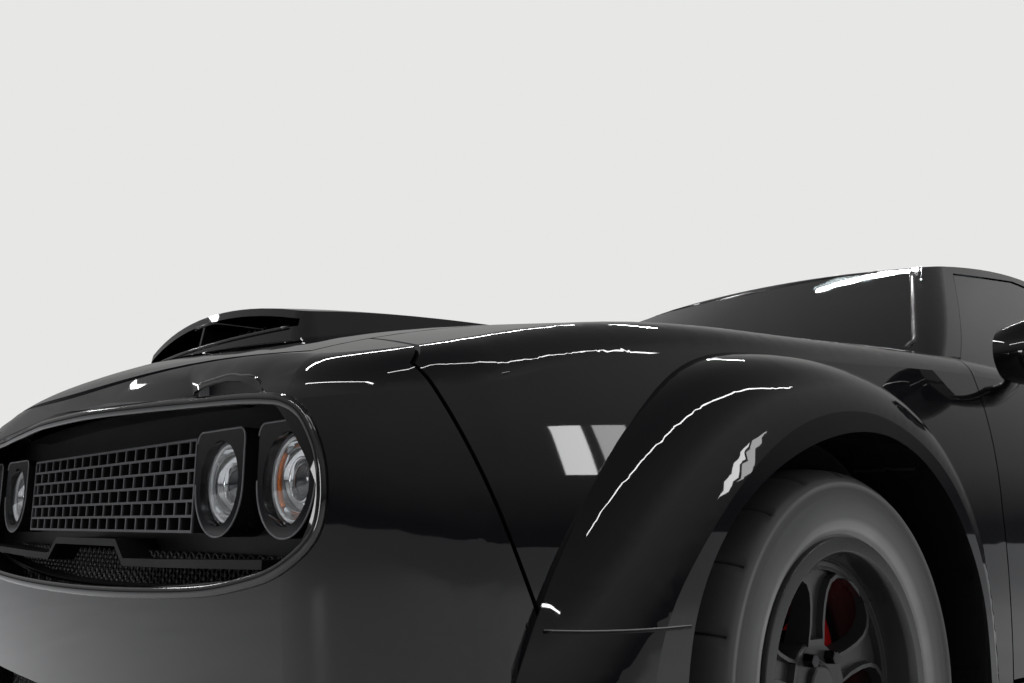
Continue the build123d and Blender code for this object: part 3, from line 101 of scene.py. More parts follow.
# One finish: two tones mottled into each other, a roughness range and a relief depth in metres
def car_finish(name, dark, light, rough, relief_depth, coarse=3.0, fine=300.0, metallic=0.0, ior=1.5):
    material = bpy.data.materials.new(name)
    material.use_nodes = True
    nodes = material.node_tree.nodes
    shader = nodes["Principled BSDF"]
    shader.inputs["Metallic"].default_value = metallic
    shader.inputs["IOR"].default_value = ior
    grain = nodes.new("ShaderNodeGroup")
    grain.node_tree = surface_grain
    grain.inputs["Coarse Scale"].default_value = coarse
    grain.inputs["Fine Scale"].default_value = fine
    grain.inputs["Low"].default_value = rough[0]
    grain.inputs["High"].default_value = rough[1]
    tones = nodes.new("ShaderNodeMix")
    tones.name = "tones"
    tones.data_type = "RGBA"
    tones.inputs["A"].default_value = (*dark, 1.0)
    tones.inputs["B"].default_value = (*light, 1.0)
    wire(grain, "Mottle", tones, "Factor")
    wire(tones, "Result", shader, "Base Color")
    wire(grain, "Roughness", shader, "Roughness")
    if relief_depth:
        bump = nodes.new("ShaderNodeBump")
        bump.inputs["Strength"].default_value = 1.0
        bump.inputs["Distance"].default_value = relief_depth
        wire(grain, "Relief", bump, "Height")
        wire(bump, "Normal", shader, "Normal")
    return material


# Gives CAD nodes that stay in view their finish
def coat(finish, *names):
    for name in names:
        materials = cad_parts[name].data.materials
        materials.clear()
        materials.append(finish)


paint = car_finish(
    "gloss_black_paint", (0.0022, 0.0022, 0.0026), (0.0034, 0.0034, 0.004), (0.02, 0.035),
    0.0000005, 1.5, 200.0, ior=1.46,
)
coat(paint, "front_fascia", "fenders", "quarter_panels", "rear_fascia", "rear_deck", "trunk_lid", "spoiler")
coat(paint, "hood_panel", "hood_scoop", "roof", "door_left", "door_right", "mirror_left", "mirror_right")
coat(paint, "wheel_flares", "sills")

# Satin black mouldings: splitter, cowl and rear valance of grained plastic, screwed on from below. The
# lamp tray with its lip is of the same plastic in a deeper black that throws back less of the room.
trim = car_finish(
    "satin_black_trim", (0.006, 0.006, 0.0065), (0.011, 0.011, 0.012), (0.3, 0.42), 0.00003, 4.0, 900.0
)
coat(trim, "splitter", "cowl", "rear_valance")
tray_black = car_finish(
    "deep_black_tray", (0.0025, 0.0025, 0.003), (0.004, 0.004, 0.0045), (0.34, 0.46),
    0.00002, 4.0, 900.0, ior=1.28,
)
coat(tray_black, "grille_tray")


# Windows: safety glass with a dark tint, bonded to the body and held in the doors' channels. It is clear
# enough to show the seats as dark shapes, and its roughness is a faint haze of dust.
def clear_glass(name, tint, ior, haze):
    material = bpy.data.materials.new(name)
    material.use_nodes = True
    shader = material.node_tree.nodes["Principled BSDF"]
    shader.inputs["Transmission Weight"].default_value = 1.0
    shader.inputs["IOR"].default_value = ior
    shader.inputs["Base Color"].default_value = (*tint, 1.0)
    grain = material.node_tree.nodes.new("ShaderNodeGroup")
    grain.node_tree = surface_grain
    grain.inputs["Low"].default_value = 0.0
    grain.inputs["High"].default_value = haze
    wire(grain, "Roughness", shader, "Roughness")
    return material


window_tint = clear_glass("tinted_window_glass", (0.10, 0.115, 0.12), 1.5, 0.015)
coat(window_tint, "fixed_glass", "door_glass_left", "door_glass_right")

# Underbody: pressed floor, tunnel, bulkheads and rails welded into one shell, with bolted cradles and
# clipped wheel liners, all under rough black underseal.
underseal = car_finish(
    "underseal", (0.005, 0.005, 0.005), (0.010, 0.010, 0.010), (0.6, 0.8), 0.0003, 3.0, 250.0
)
coat(underseal, "floor_pan", "tunnel", "bulkheads", "front_rails", "front_liners", "rear_liners")
coat(underseal, "front_cradle", "rear_cradle")

# Engine block and knuckles: bare sand-cast iron, the block on mounts between the front rails. The
# radiator ahead of it is brushed aluminium.
iron = car_finish("cast_iron", (0.04, 0.04, 0.042), (0.07, 0.068, 0.066), (0.5, 0.7), 0.0002, 5.0, 400.0)
coat(iron, "engine", "knuckle_left", "knuckle_right")
alloy = car_finish(
    "radiator_alloy", (0.15, 0.15, 0.155), (0.22, 0.22, 0.225), (0.35, 0.5), 0.00003, 5.0, 500.0, 1.0
)
coat(alloy, "radiator")

# Exhaust: stainless pipes and mufflers with a warm heat tint, bent and welded, and hung from hangers
# under the trunk floor.
steel = car_finish(
    "exhaust_steel", (0.38, 0.36, 0.33), (0.5, 0.49, 0.47), (0.22, 0.36), 0.00002, 6.0, 600.0, 1.0
)
coat(steel, "exhaust")

# Calipers: cast bodies in gloss red paint on the knuckles, behind the rims and over the rear side of the
# front discs.
caliper_paint = car_finish(
    "red_caliper_paint", (0.42, 0.006, 0.008), (0.5, 0.010, 0.012), (0.16, 0.24), 0.000006, 5.0, 300.0
)
coat(caliper_paint, "caliper_left", "caliper_right")

# Tyres: drag radials of moulded rubber on the rims. One sector of the closed section of (x, radius)
# points is spun, its shoulder slits are sunk, and the sector is repeated round the wheel; a raised rib
# parts tread shoulder and sidewall.
tyre_half_section = [
    (0.0300, 0.3543), (0.0312, 0.3485), (0.0388, 0.3484), (0.0400, 0.3541), (0.0920, 0.3528),
    (0.1200, 0.3500), (0.1370, 0.3452), (0.1468, 0.3392), (0.1516, 0.3346), (0.1530, 0.3318),
    (0.1558, 0.3308), (0.1573, 0.3280), (0.1571, 0.3240), (0.1552, 0.3222), (0.1566, 0.3120),
    (0.1572, 0.3090), (0.1564, 0.3078), (0.1572, 0.2960), (0.1562, 0.2800), (0.1542, 0.2690),
    (0.1528, 0.2676), (0.1490, 0.2560), (0.1462, 0.2508), (0.1440, 0.2500), (0.1425, 0.2462),
    (0.1395, 0.2440), (0.1378, 0.2425), (0.1376, 0.2300), (0.1120, 0.2300), (0.1160, 0.2450),
    (0.1420, 0.2920), (0.1180, 0.3340),
]
slits_round_tyre = 20
slit_angle = math.radians(0.75)
slit_sink = 0.983
slit_inner_x = 0.05
slit_outer_x = 0.151
slit_floor_radius = 0.337


# Turns a line of (x, radius) points about the wheel's axle into faces
def turn_section(mesh, points, steps, angle=2 * math.pi, closed=True):
    verts = [mesh.verts.new((x, 0.0, radius)) for x, radius in points]
    first = 0 if closed else 1
    edges = [mesh.edges.new((verts[i - 1], verts[i])) for i in range(first, len(verts))]
    return bmesh.ops.spin(
        mesh,
        geom=verts + edges,
        cent=(0, 0, 0),
        axis=(1, 0, 0),
        angle=angle,
        steps=steps,
        use_merge=angle > 6.28,
    )


# Repeats everything in the mesh round the wheel's axle
def repeat_round(mesh, copies):
    bmesh.ops.spin(
        mesh,
        geom=mesh.verts[:] + mesh.edges[:] + mesh.faces[:],
        cent=(0, 0, 0),
        axis=(1, 0, 0),
        angle=2 * math.pi / copies * (copies - 1),
        steps=copies - 1,
        use_duplicate=True,
    )


# Extrudes faces in place, drops the ones left inside and returns the new ones
def grow_faces(mesh, faces):
    grown = bmesh.ops.extrude_face_region(mesh, geom=faces)
    left_inside = [face for face in faces if face.is_valid]
    bmesh.ops.delete(mesh, geom=left_inside, context="FACES_ONLY")
    return [item for item in grown["geom"] if isinstance(item, bmesh.types.BMFace)]


# Turns every face of a mesh outwards
def face_outwards(mesh):
    bmesh.ops.recalc_face_normals(mesh, faces=mesh.faces[:])


tyre_mesh = bmesh.new()
tyre_points = tyre_half_section + [(-x, radius) for x, radius in reversed(tyre_half_section)]
narrow = turn_section(tyre_mesh, tyre_points, 1, slit_angle)
bmesh.ops.spin(
    tyre_mesh,
    geom=narrow["geom_last"],
    cent=(0, 0, 0),
    axis=(1, 0, 0),
    angle=2 * math.pi / slits_round_tyre - slit_angle,
    steps=6,
)
slit_faces = []
for face in tyre_mesh.faces:
    middle = face.calc_center_median()
    in_slit = abs(math.atan2(middle.y, middle.z)) < slit_angle and slit_inner_x < abs(middle.x) < slit_outer_x
    if in_slit and math.hypot(middle.y, middle.z) > slit_floor_radius:
        slit_faces.append(face)
for vert in {vert for face in grow_faces(tyre_mesh, slit_faces) for vert in face.verts}:
    vert.co.yz = vert.co.yz * slit_sink
repeat_round(tyre_mesh, slits_round_tyre)
bmesh.ops.remove_doubles(tyre_mesh, verts=tyre_mesh.verts[:], dist=0.00002)
face_outwards(tyre_mesh)
tyre_bands = tyre_mesh.loops.layers.uv.new("bands")
for face in tyre_mesh.faces:
    for loop in face.loops:
        loop[tyre_bands].uv = (math.hypot(loop.vert.co.y, loop.vert.co.z), loop.vert.co.x)

tyre_rubber = car_finish(
    "tyre_rubber", (0.012, 0.012, 0.012), (0.020, 0.0195, 0.019), (0.5, 0.7), 0.00006, 4.0, 700.0
)
# The rubber's light tone is a ramp by distance from the axle. It paints the sidewall lighter than the tread
# as painted sheen, brightest next to the rim, with a painted highlight ring between shoulder and sidewall.
tyre_nodes = tyre_rubber.node_tree.nodes
band_place = tyre_nodes.new("ShaderNodeTexCoord")
band_radius = tyre_nodes.new("ShaderNodeSeparateXYZ")
tyre_painted_sheen = tyre_nodes.new("ShaderNodeValToRGB")
tyre_painted_sheen.color_ramp.elements[0].position = 0.250
tyre_painted_sheen.color_ramp.elements[0].color = (0.300, 0.296, 0.290, 1.0)
tyre_painted_sheen.color_ramp.elements[1].position = 0.3535
tyre_painted_sheen.color_ramp.elements[1].color = (0.022, 0.022, 0.0215, 1.0)
for position, tone in (
    (0.266, 0.24), (0.272, 0.11), (0.300, 0.055), (0.321, 0.030), (0.327, 0.13), (0.334, 0.026),
):
    element = tyre_painted_sheen.color_ramp.elements.new(position)
    element.color = (tone, tone, tone * 0.98, 1.0)
wire(band_place, "UV", band_radius, "Vector")
wire(band_radius, "X", tyre_painted_sheen, "Fac")
wire(tyre_painted_sheen, "Color", tyre_nodes["tones"], "B")

wheel_places = {
    "front_left": (0.800, -1.550),
    "front_right": (-0.800, -1.550),
    "rear_left": (0.800, 1.400),
    "rear_right": (-0.800, 1.400),
}
wheel_height = 0.3545


# A finished mesh becomes one named piece that rides its body
def make_piece(mesh, name, finish, body, slot, *stands_for):
    data = bpy.data.meshes.new(name)
    mesh.to_mesh(data)
    mesh.free()
    data.shade_smooth()
    data.materials.append(finish)
    piece = bpy.data.objects.new(name, data)
    bpy.context.scene.collection.objects.link(piece)
    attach(piece, body)
    if stands_for:
        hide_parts(*stands_for)
    return piece


# Rounds the sharp edges of pieces and evens their normals
def ease_edges(pieces, width, segments=2, angle=35.0):
    for piece in pieces:
        bevel = piece.modifiers.new("eased_edges", "BEVEL")
        bevel.width = width
        bevel.segments = segments
        bevel.limit_method = "ANGLE"
        bevel.angle_limit = math.radians(angle)
        weighted = piece.modifiers.new("even_normals", "WEIGHTED_NORMAL")
        weighted.keep_sharp = False


# A copy of the left master for each wheel, mirrored on the right and moved to its axle
def fit_to_wheels(master, label, finish, slot, stands_for=""):
    fitted = []
    for corner, (x, y) in wheel_places.items():
        copy = master.copy()
        if x < 0:
            bmesh.ops.scale(copy, vec=(-1, 1, 1), verts=copy.verts[:])
            bmesh.ops.reverse_faces(copy, faces=copy.faces[:])
        bmesh.ops.translate(copy, vec=(x, y, wheel_height), verts=copy.verts[:])
        replaced = (stands_for + corner,) if stands_for else ()
        fitted.append(make_piece(copy, label + "_" + corner, finish, "wheel_" + corner, slot, *replaced))
    master.free()
    return fitted


fit_to_wheels(tyre_mesh, "tyre_tread", tyre_rubber, "tyre_rubber", "tyre_")

# Rims: forged alloy in satin black, bolted to the hubs. The barrel and lip are turned, five spokes flare
# into a ring inside the barrel, each with a long pocket milled in its face, and the hub holds five nuts
# and a plain cap.
rim_section = [
    (0.1500, 0.2392), (0.1488, 0.2412), (0.1402, 0.2412), (0.1385, 0.2292), (0.1120, 0.2290),
    (0.0920, 0.2130), (-0.0920, 0.2130), (-0.1120, 0.2290), (-0.1385, 0.2292), (-0.1402, 0.2412),
    (-0.1488, 0.2412), (-0.1500, 0.2320), (-0.1340, 0.2200), (-0.1120, 0.2200), (-0.0860, 0.2050),
    (0.0700, 0.2050), (0.0860, 0.1900), (0.0985, 0.1895), (0.1010, 0.1925), (0.1015, 0.2010),
    (0.0990, 0.2048), (0.1370, 0.2105), (0.1462, 0.2140), (0.1500, 0.2180),
]
rim_mesh = bmesh.new()
turn_section(rim_mesh, rim_section, 96)
face_outwards(rim_mesh)

# distance from the axle, half width, back and front of one spoke
spoke_stations = [
    (0.052, 0.0300, 0.036, 0.0860),
    (0.072, 0.0245, 0.042, 0.0890),
    (0.100, 0.0225, 0.050, 0.0925),
    (0.130, 0.0240, 0.060, 0.0960),
    (0.152, 0.0290, 0.068, 0.0985),
    (0.168, 0.0385, 0.074, 0.1000),
    (0.180, 0.0560, 0.080, 0.1010),
    (0.188, 0.0830, 0.085, 0.1012),
    (0.194, 0.1130, 0.088, 0.1010),
]
spokes_round = 5
pocket_start = 0.074
pocket_end = 0.184
pocket_margin = 0.0065
pocket_slope = 0.0022
pocket_depth = 0.012
spoke_mesh = bmesh.new()
bmesh.ops.create_grid(spoke_mesh, x_segments=1, y_segments=1, size=0.5)
spoke_end = spoke_mesh.faces[:]
last_middle = 0.0
for reach, half, back, front in spoke_stations:
    if reach > spoke_stations[0][0]:
        spoke_end = grow_faces(spoke_mesh, spoke_end)
    for vert in spoke_end[0].verts:
        vert.co = (front if vert.co.x > last_middle else back, math.copysign(half, vert.co.y), reach)
    last_middle = (front + back) / 2
face_outwards(spoke_mesh)
pocket_faces = [
    face
    for face in spoke_mesh.faces
    if face.normal.x > 0.7 and pocket_start < face.calc_center_median().z < pocket_end
]
bmesh.ops.inset_region(spoke_mesh, faces=pocket_faces, thickness=pocket_margin)
bmesh.ops.inset_region(spoke_mesh, faces=pocket_faces, thickness=pocket_slope, depth=-pocket_depth)
wide_edges = [
    edge
    for edge in spoke_mesh.edges
    if abs(edge.verts[0].co.z - edge.verts[1].co.z) < 0.012 and edge.calc_length() > 0.05
]
bmesh.ops.subdivide_edges(spoke_mesh, edges=wide_edges, cuts=5, use_grid_fill=True)
for vert in spoke_mesh.verts:
    reach = vert.co.z
    bend = vert.co.y / max(reach, 0.06)
    vert.co.y = reach * math.sin(bend)
    vert.co.z = reach * math.cos(bend)
repeat_round(spoke_mesh, spokes_round)
face_outwards(spoke_mesh)

hub_section = [
    (0.0300, 0.0001), (0.0300, 0.0700), (0.0820, 0.0720), (0.0880, 0.0680), (0.0890, 0.0400),
    (0.0860, 0.0365), (0.0860, 0.0345), (0.0960, 0.0335), (0.0985, 0.0305), (0.0990, 0.0001),
]
hub_mesh = bmesh.new()
turn_section(hub_mesh, hub_section, 48, closed=False)
bmesh.ops.remove_doubles(hub_mesh, verts=hub_mesh.verts[:], dist=0.0004)
face_outwards(hub_mesh)


# A short tapered stud or tube along the Z axis of its place
def add_stud(mesh, place, low_radius, high_radius, length, sides=24, capped=True):
    bmesh.ops.create_cone(
        mesh,
        cap_ends=capped,
        segments=sides,
        radius1=low_radius,
        radius2=high_radius,
        depth=length,
        matrix=place,
    )


nuts_round = 5
nut_circle = 0.0540
nut_front = 0.0960
nut_mesh = bmesh.new()
for nut in range(nuts_round):
    turn = 2 * math.pi * (nut + 0.5) / nuts_round
    nut_place = Matrix.Translation((nut_front, nut_circle * math.sin(turn), nut_circle * math.cos(turn)))
    add_stud(nut_mesh, nut_place @ Matrix.Rotation(math.pi / 2, 4, "Y"), 0.0125, 0.0112, 0.020, 6)

rim_finish = car_finish(
    "satin_black_forging", (0.010, 0.010, 0.0105), (0.015, 0.015, 0.0155), (0.26, 0.34), 0.000006, 5.0, 600.0
)
nut_finish = car_finish(
    "black_zinc_nuts", (0.03, 0.03, 0.032), (0.05, 0.05, 0.052), (0.22, 0.3), 0.00001, 8.0, 500.0, 1.0
)
ease_edges(fit_to_wheels(rim_mesh, "rim_barrel", rim_finish, "rim_black", "rim_"), 0.001)
ease_edges(fit_to_wheels(spoke_mesh, "rim_spokes", rim_finish, "rim_black"), 0.0026, 3, 28.0)
ease_edges(fit_to_wheels(hub_mesh, "rim_hub", rim_finish, "rim_black"), 0.0012)
ease_edges(fit_to_wheels(nut_mesh, "wheel_nuts", nut_finish, "rim_black"), 0.0012)

# Brake discs: cast iron rings on a black hat, vented by straight vanes between two faces; they turn with
# the wheel, and the stub axle stays behind them.
disc_inner = 0.104
disc_outer = 0.179
vanes = 36
vane_size = (0.0102, 0.004, 0.073)
disc_mesh = bmesh.new()
for low, high in ((-0.0650, -0.0550), (-0.0450, -0.0350)):
    ring_section = [(low, disc_inner), (low, disc_outer), (high, disc_outer), (high, disc_inner)]
    turn_section(disc_mesh, ring_section, 72)


# A block of the given size, centred on its place
def add_block(mesh, place, size):
    return bmesh.ops.create_cube(mesh, size=1.0, matrix=place @ Matrix.Diagonal((*size, 1)))


for vane in range(vanes):
    turn = Matrix.Rotation(2 * math.pi * vane / vanes, 4, "X")
    add_block(disc_mesh, turn @ Matrix.Translation((-0.05, 0, 0.1415)), vane_size)
hat_section = [
    (-0.0650, 0.0363), (-0.0650, 0.1045), (-0.0350, 0.1045), (-0.0350, 0.0900), (0.0200, 0.0840),
    (0.0310, 0.0780), (0.0310, 0.0363),
]
turn_section(disc_mesh, hat_section, 48)
face_outwards(disc_mesh)
disc_finish = car_finish(
    "turned_brake_iron", (0.10, 0.10, 0.10), (0.16, 0.158, 0.155), (0.3, 0.45), 0.00002, 6.0, 900.0, 1.0
)
ease_edges(fit_to_wheels(disc_mesh, "brake_disc", disc_finish, "rim_black"), 0.0008)

# Lamp bezels: gloss black moulded cups screwed to the tray, each with a thin satin line round its
# D-shaped rim. The line is a fine bar swept along the rim; it ends where the mouth covers the rim.
bezel_black = car_finish(
    "gloss_black_bezel", (0.004, 0.004, 0.0045), (0.006, 0.006, 0.0065), (0.06, 0.10),
    0.000001, 4.0, 400.0, ior=1.55,
)
coat(bezel_black, "lamp_bezels")
lamp_height = 0.666
lamp_places = (-0.684, -0.493, 0.493, 0.684)
bezel_front = -2.427
bezel_half = 0.075
bezel_corner = 0.016
rim_line_reach = 0.752
rim_line_top = 0.70


# Extrudes a closed ring of section points along matrices whose X and Y axes span the section
def sweep_bar(mesh, section, stations, closed=False):
    verts = [mesh.verts.new(stations[0] @ Vector((u, v, 0.0))) for u, v in section]
    ring = [mesh.edges.new((verts[i - 1], verts[i])) for i in range(len(verts))]
    first_ring = ring
    for before, after in zip(stations, stations[1:]):
        grown = bmesh.ops.extrude_edge_only(mesh, edges=ring)
        fresh = {item for item in grown["geom"] if isinstance(item, bmesh.types.BMVert)}
        ring = [
            item
            for item in grown["geom"]
            if isinstance(item, bmesh.types.BMEdge) and item.verts[0] in fresh and item.verts[1] in fresh
        ]
        bmesh.ops.transform(mesh, matrix=after @ before.inverted(), verts=list(fresh))
    if closed:
        bmesh.ops.bridge_loops(mesh, edges=first_ring + ring)
    else:
        bmesh.ops.edgeloop_fill(mesh, edges=first_ring)
        bmesh.ops.edgeloop_fill(mesh, edges=ring)


# One matrix per path point: X across the path, Y along the given outward direction, Z along the path
def path_stations(points, outward, closed=False):
    stations = []
    last = len(points) - 1
    for i, point in enumerate(points):
        before = points[i - 1] if i or closed else point
        after = points[(i + 1) % len(points)] if i < last or closed else point
        along = (Vector(after) - Vector(before)).normalized()
        across = along.cross(Vector(outward)).normalized()
        upward = across.cross(along)
        axes = Matrix((across, upward, along)).transposed().to_4x4()
        stations.append(Matrix.Translation(point) @ axes)
    return stations


# A round or oval section for bars and beads
def oval(half_across, half_out, steps=10, lift=0.0):
    turns = [2 * math.pi * k / steps for k in range(steps)]
    return [(half_across * math.cos(turn), lift + half_out * math.sin(turn)) for turn in turns]


# Points of an arc in the front view, from a start angle through a sweep
def arc_points(centre_x, centre_z, radius, start, sweep, steps):
    turns = [start + sweep * k / steps for k in range(steps + 1)]
    return [(centre_x + radius * math.cos(turn), centre_z + radius * math.sin(turn)) for turn in turns]


rim_line_mesh = bmesh.new()
corner_height = lamp_height + bezel_half - bezel_corner
quarter = math.pi / 2
for x in lamp_places:
    outline = arc_points(x, lamp_height, bezel_half, math.pi, math.pi, 24)
    outline += arc_points(x + bezel_half - bezel_corner, corner_height, bezel_corner, 0.0, quarter, 6)
    outline += arc_points(x - bezel_half + bezel_corner, corner_height, bezel_corner, quarter, quarter, 6)
    path = [(px, bezel_front, pz) for px, pz in outline if abs(px) < rim_line_reach or pz < rim_line_top]
    sweep_bar(rim_line_mesh, oval(0.0014, 0.0014, 6), path_stations(path, (0, -1, 0)))
rim_line_grey = car_finish("satin_rim_line", (0.06, 0.06, 0.065), (0.09, 0.09, 0.095), (0.25, 0.35), 0.0)
make_piece(rim_line_mesh, "lamp_rim_lines", rim_line_grey, "body", "bezel_black")

# Lamps: a clear domed lens over a chromed reflector bowl with an inner projector and a thin halo ring;
# the outer lamps carry an amber marker on their inboard side. All clip into the bezels' bores.
lens_radius = 0.0592
lens_seat = -2.4165
lens_rise = 0.009
lens_wall = 0.0022
halo_depth = -2.4110
halo_radius = 0.0535
projector_depth = -2.3960
projector_rise = 0.0115
projector_radius = 0.0245
axis_clear = 0.00005
bowl = [
    (-2.4140, 0.0585), (-2.4080, 0.0578), (-2.3990, 0.0555), (-2.3900, 0.0510), (-2.3830, 0.0450),
    (-2.3780, 0.0370), (-2.3760, 0.0290),
]
shroud = [(-2.3960, 0.0245), (-2.4030, 0.0262), (-2.4050, 0.0285), (-2.4030, 0.0305), (-2.3770, 0.0300)]


# Turns open (depth, radius) points about an axis along Y into faces
def turn_about_depth(mesh, points, x, height):
    verts = [mesh.verts.new((x, depth, height + radius)) for depth, radius in points]
    edges = [mesh.edges.new((verts[i - 1], verts[i])) for i in range(1, len(verts))]
    bmesh.ops.spin(
        mesh,
        geom=verts + edges,
        cent=(x, 0, height),
        axis=(0, 1, 0),
        angle=2 * math.pi,
        steps=48,
        use_merge=True,
    )


# Half the outline of a dome, from just off the axis out to the rim
def dome_points(rim_depth, rise, radius, steps):
    turns = [math.pi / 2 * k / steps for k in range(steps + 1)]
    return [(rim_depth - rise * math.cos(turn), max(radius * math.sin(turn), axis_clear)) for turn in turns]


dome = dome_points(lens_seat, lens_rise, lens_radius, 8)
lens_inside = [(depth + lens_wall, max(radius - 0.001, axis_clear)) for depth, radius in reversed(dome)]
ball = dome_points(projector_depth, projector_rise, projector_radius, 6)
halo_turns = [math.pi / 4 * k for k in range(9)]
halo = [(halo_depth + 0.0022 * math.cos(turn), halo_radius + 0.0026 * math.sin(turn)) for turn in halo_turns]
lens_mesh = bmesh.new()
reflector_mesh = bmesh.new()
halo_mesh = bmesh.new()
projector_mesh = bmesh.new()
for x in lamp_places:
    turn_about_depth(lens_mesh, dome + lens_inside, x, lamp_height)
    turn_about_depth(reflector_mesh, bowl, x, lamp_height)
    turn_about_depth(halo_mesh, halo, x, lamp_height)
    turn_about_depth(projector_mesh, ball, x, lamp_height)
    turn_about_depth(reflector_mesh, shroud, x, lamp_height)
for mesh in (lens_mesh, reflector_mesh, halo_mesh, projector_mesh):
    bmesh.ops.remove_doubles(mesh, verts=mesh.verts[:], dist=0.0001)
    face_outwards(mesh)
lamp_clear = clear_glass("clear_lamp_glass", (0.96, 0.97, 0.98), 1.4, 0.01)
chrome = car_finish("lamp_chrome", (0.72, 0.73, 0.74), (0.8, 0.81, 0.82), (0.06, 0.12), 0.0, 5.0, 300.0, 1.0)
halo_white = car_finish("halo_light_guide", (0.75, 0.76, 0.78), (0.85, 0.86, 0.88), (0.2, 0.3), 0.0)
projector_glass = car_finish(
    "projector_lens", (0.02, 0.022, 0.026), (0.03, 0.032, 0.036), (0.02, 0.04), 0.0, ior=1.7
)
make_piece(lens_mesh, "lamp_lenses_clear", lamp_clear, "body", "lamp_glass", "lamp_lenses")
make_piece(reflector_mesh, "lamp_reflectors", chrome, "body", "lamp_glass")
make_piece(halo_mesh, "lamp_halos", halo_white, "body", "lamp_glass")
make_piece(projector_mesh, "lamp_projectors", projector_glass, "body", "lamp_glass")
marker_depth = -2.4060
marker_radius = 0.0520
marker_arc = [math.radians(-42 + 84 * k / 10) for k in range(11)]
amber_mesh = bmesh.new()
for x, inboard in ((0.684, -1), (-0.684, 1)):
    path = []
    for turn in marker_arc:
        out = inboard * marker_radius * math.cos(turn)
        path.append((x + out, marker_depth, lamp_height + marker_radius * math.sin(turn)))
    sweep_bar(amber_mesh, oval(0.0042, 0.0035, 8), path_stations(path, (0, -1, 0)))
amber = car_finish("amber_marker", (0.75, 0.16, 0.01), (0.85, 0.22, 0.02), (0.08, 0.14), 0.0, 6.0, 300.0)
make_piece(amber_mesh, "lamp_markers", amber, "body", "lamp_glass")

# Grille: moulded egg-crate bars clipped into the tray between the inner lamps. Their front edges are painted
# satin grey as a painted highlight, and painted shade turns the bars black further back.
grille_edge = -2.4185
grille_shade_from = -2.4150
grille_shaded_finish = car_finish(
    "grille_painted_highlight_shade", (0.050, 0.050, 0.054), (0.070, 0.070, 0.075), (0.28, 0.38), 0.00001, 6.0, 700.0
)
grille_nodes = grille_shaded_finish.node_tree.nodes
grille_place = grille_nodes.new("ShaderNodeTexCoord")
grille_axes = grille_nodes.new("ShaderNodeSeparateXYZ")
# Painted shade: the bars darken from their grey front edges to near black a few millimetres back.
grille_shade_fade = grille_nodes.new("ShaderNodeMapRange")
grille_shade_fade.inputs["From Min"].default_value = grille_edge
grille_shade_fade.inputs["From Max"].default_value = grille_shade_from
grille_painted_shade = grille_nodes.new("ShaderNodeMix")
grille_painted_shade.data_type = "RGBA"
grille_painted_shade.inputs["B"].default_value = (0.005, 0.005, 0.0055, 1.0)
wire(grille_place, "Object", grille_axes, "Vector")
wire(grille_axes, "Y", grille_shade_fade, "Value")
wire(grille_shade_fade, "Result", grille_painted_shade, "Factor")
wire(grille_nodes["tones"], "Result", grille_painted_shade, "A")
wire(grille_painted_shade, "Result", grille_nodes["Principled BSDF"], "Base Color")
coat(grille_shaded_finish, "grille")

# Mouth ring: a wide gloss black bead round the nose opening, clipped into the fascia. Above each outer
# lamp a painted strip carries the fascia's edge down to the bead. The points run from the middle of the
# opening's top to the middle of its foot.
mouth_half = (
    (0.000, 0.7880), (0.200, 0.7865), (0.400, 0.7810), (0.500, 0.7770), (0.600, 0.7725),
    (0.680, 0.7660), (0.722, 0.7590), (0.754, 0.7425), (0.776, 0.7120), (0.788, 0.6820),
    (0.793, 0.6530), (0.793, 0.6280), (0.788, 0.6050), (0.777, 0.5880), (0.757, 0.5715),
    (0.723, 0.5545), (0.671, 0.5405), (0.563, 0.5235), (0.400, 0.5130), (0.200, 0.5065),
    (0.000, 0.5045),
)
ring_half_width = 0.0085
ring_height = 0.0055
skin_limit = -2.400


# Points of a smooth curve through the given ones
def smooth_through(points, steps):
    before_first = (2 * points[0][0] - points[1][0], points[1][1])
    after_last = (2 * points[-1][0] - points[-2][0], points[-2][1])
    knots = [Vector(point) for point in (before_first, *points, after_last)]
    found = []
    for a, b, c, d in zip(knots, knots[1:], knots[2:], knots[3:]):
        for k in range(steps):
            t = k / steps
            bend = 2 * a - 5 * b + 4 * c - d
            twist = 3 * b - a - 3 * c + d
            found.append(b + (c - a) * (0.5 * t) + bend * (0.5 * t**2) + twist * (0.5 * t**3))
    return found + [knots[-2]]


# Where a ray first meets a CAD panel, and the panel's outward direction there
def panel_point(name, start, direction):
    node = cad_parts[name]
    inverse = node.matrix_world.inverted()
    hit, place, normal, _ = node.ray_cast(inverse @ Vector(start), inverse.to_3x3() @ Vector(direction))
    if not hit:
        raise ValueError(name + " isn't met from " + str(start))
    return node.matrix_world @ place, (node.matrix_world.to_3x3() @ normal).normalized()


# Depth of the fascia's outer skin at a point of the front view, or None inside the mouth
def skin_depth(x, z):
    try:
        place, _ = panel_point("front_fascia", (x, -3.0, z), (0, 1, 0))
    except ValueError:
        return None
    return place.y if place.y < skin_limit else None


# Height of the skin's edge above or below a point in the mouth, and the skin's depth carried on to the point
def carried_depth(x, z):
    step = 0.003 if z > 0.65 else -0.003
    edge = z
    if skin_depth(x, edge) is not None:
        return edge, skin_depth(x, edge)
    while skin_depth(x, edge) is None:
        edge += step
    edge += step
    depth = skin_depth(x, edge)
    further = skin_depth(x, edge + 4 * step)
    return edge, depth + (depth - further) * (edge - z) / (4 * step)


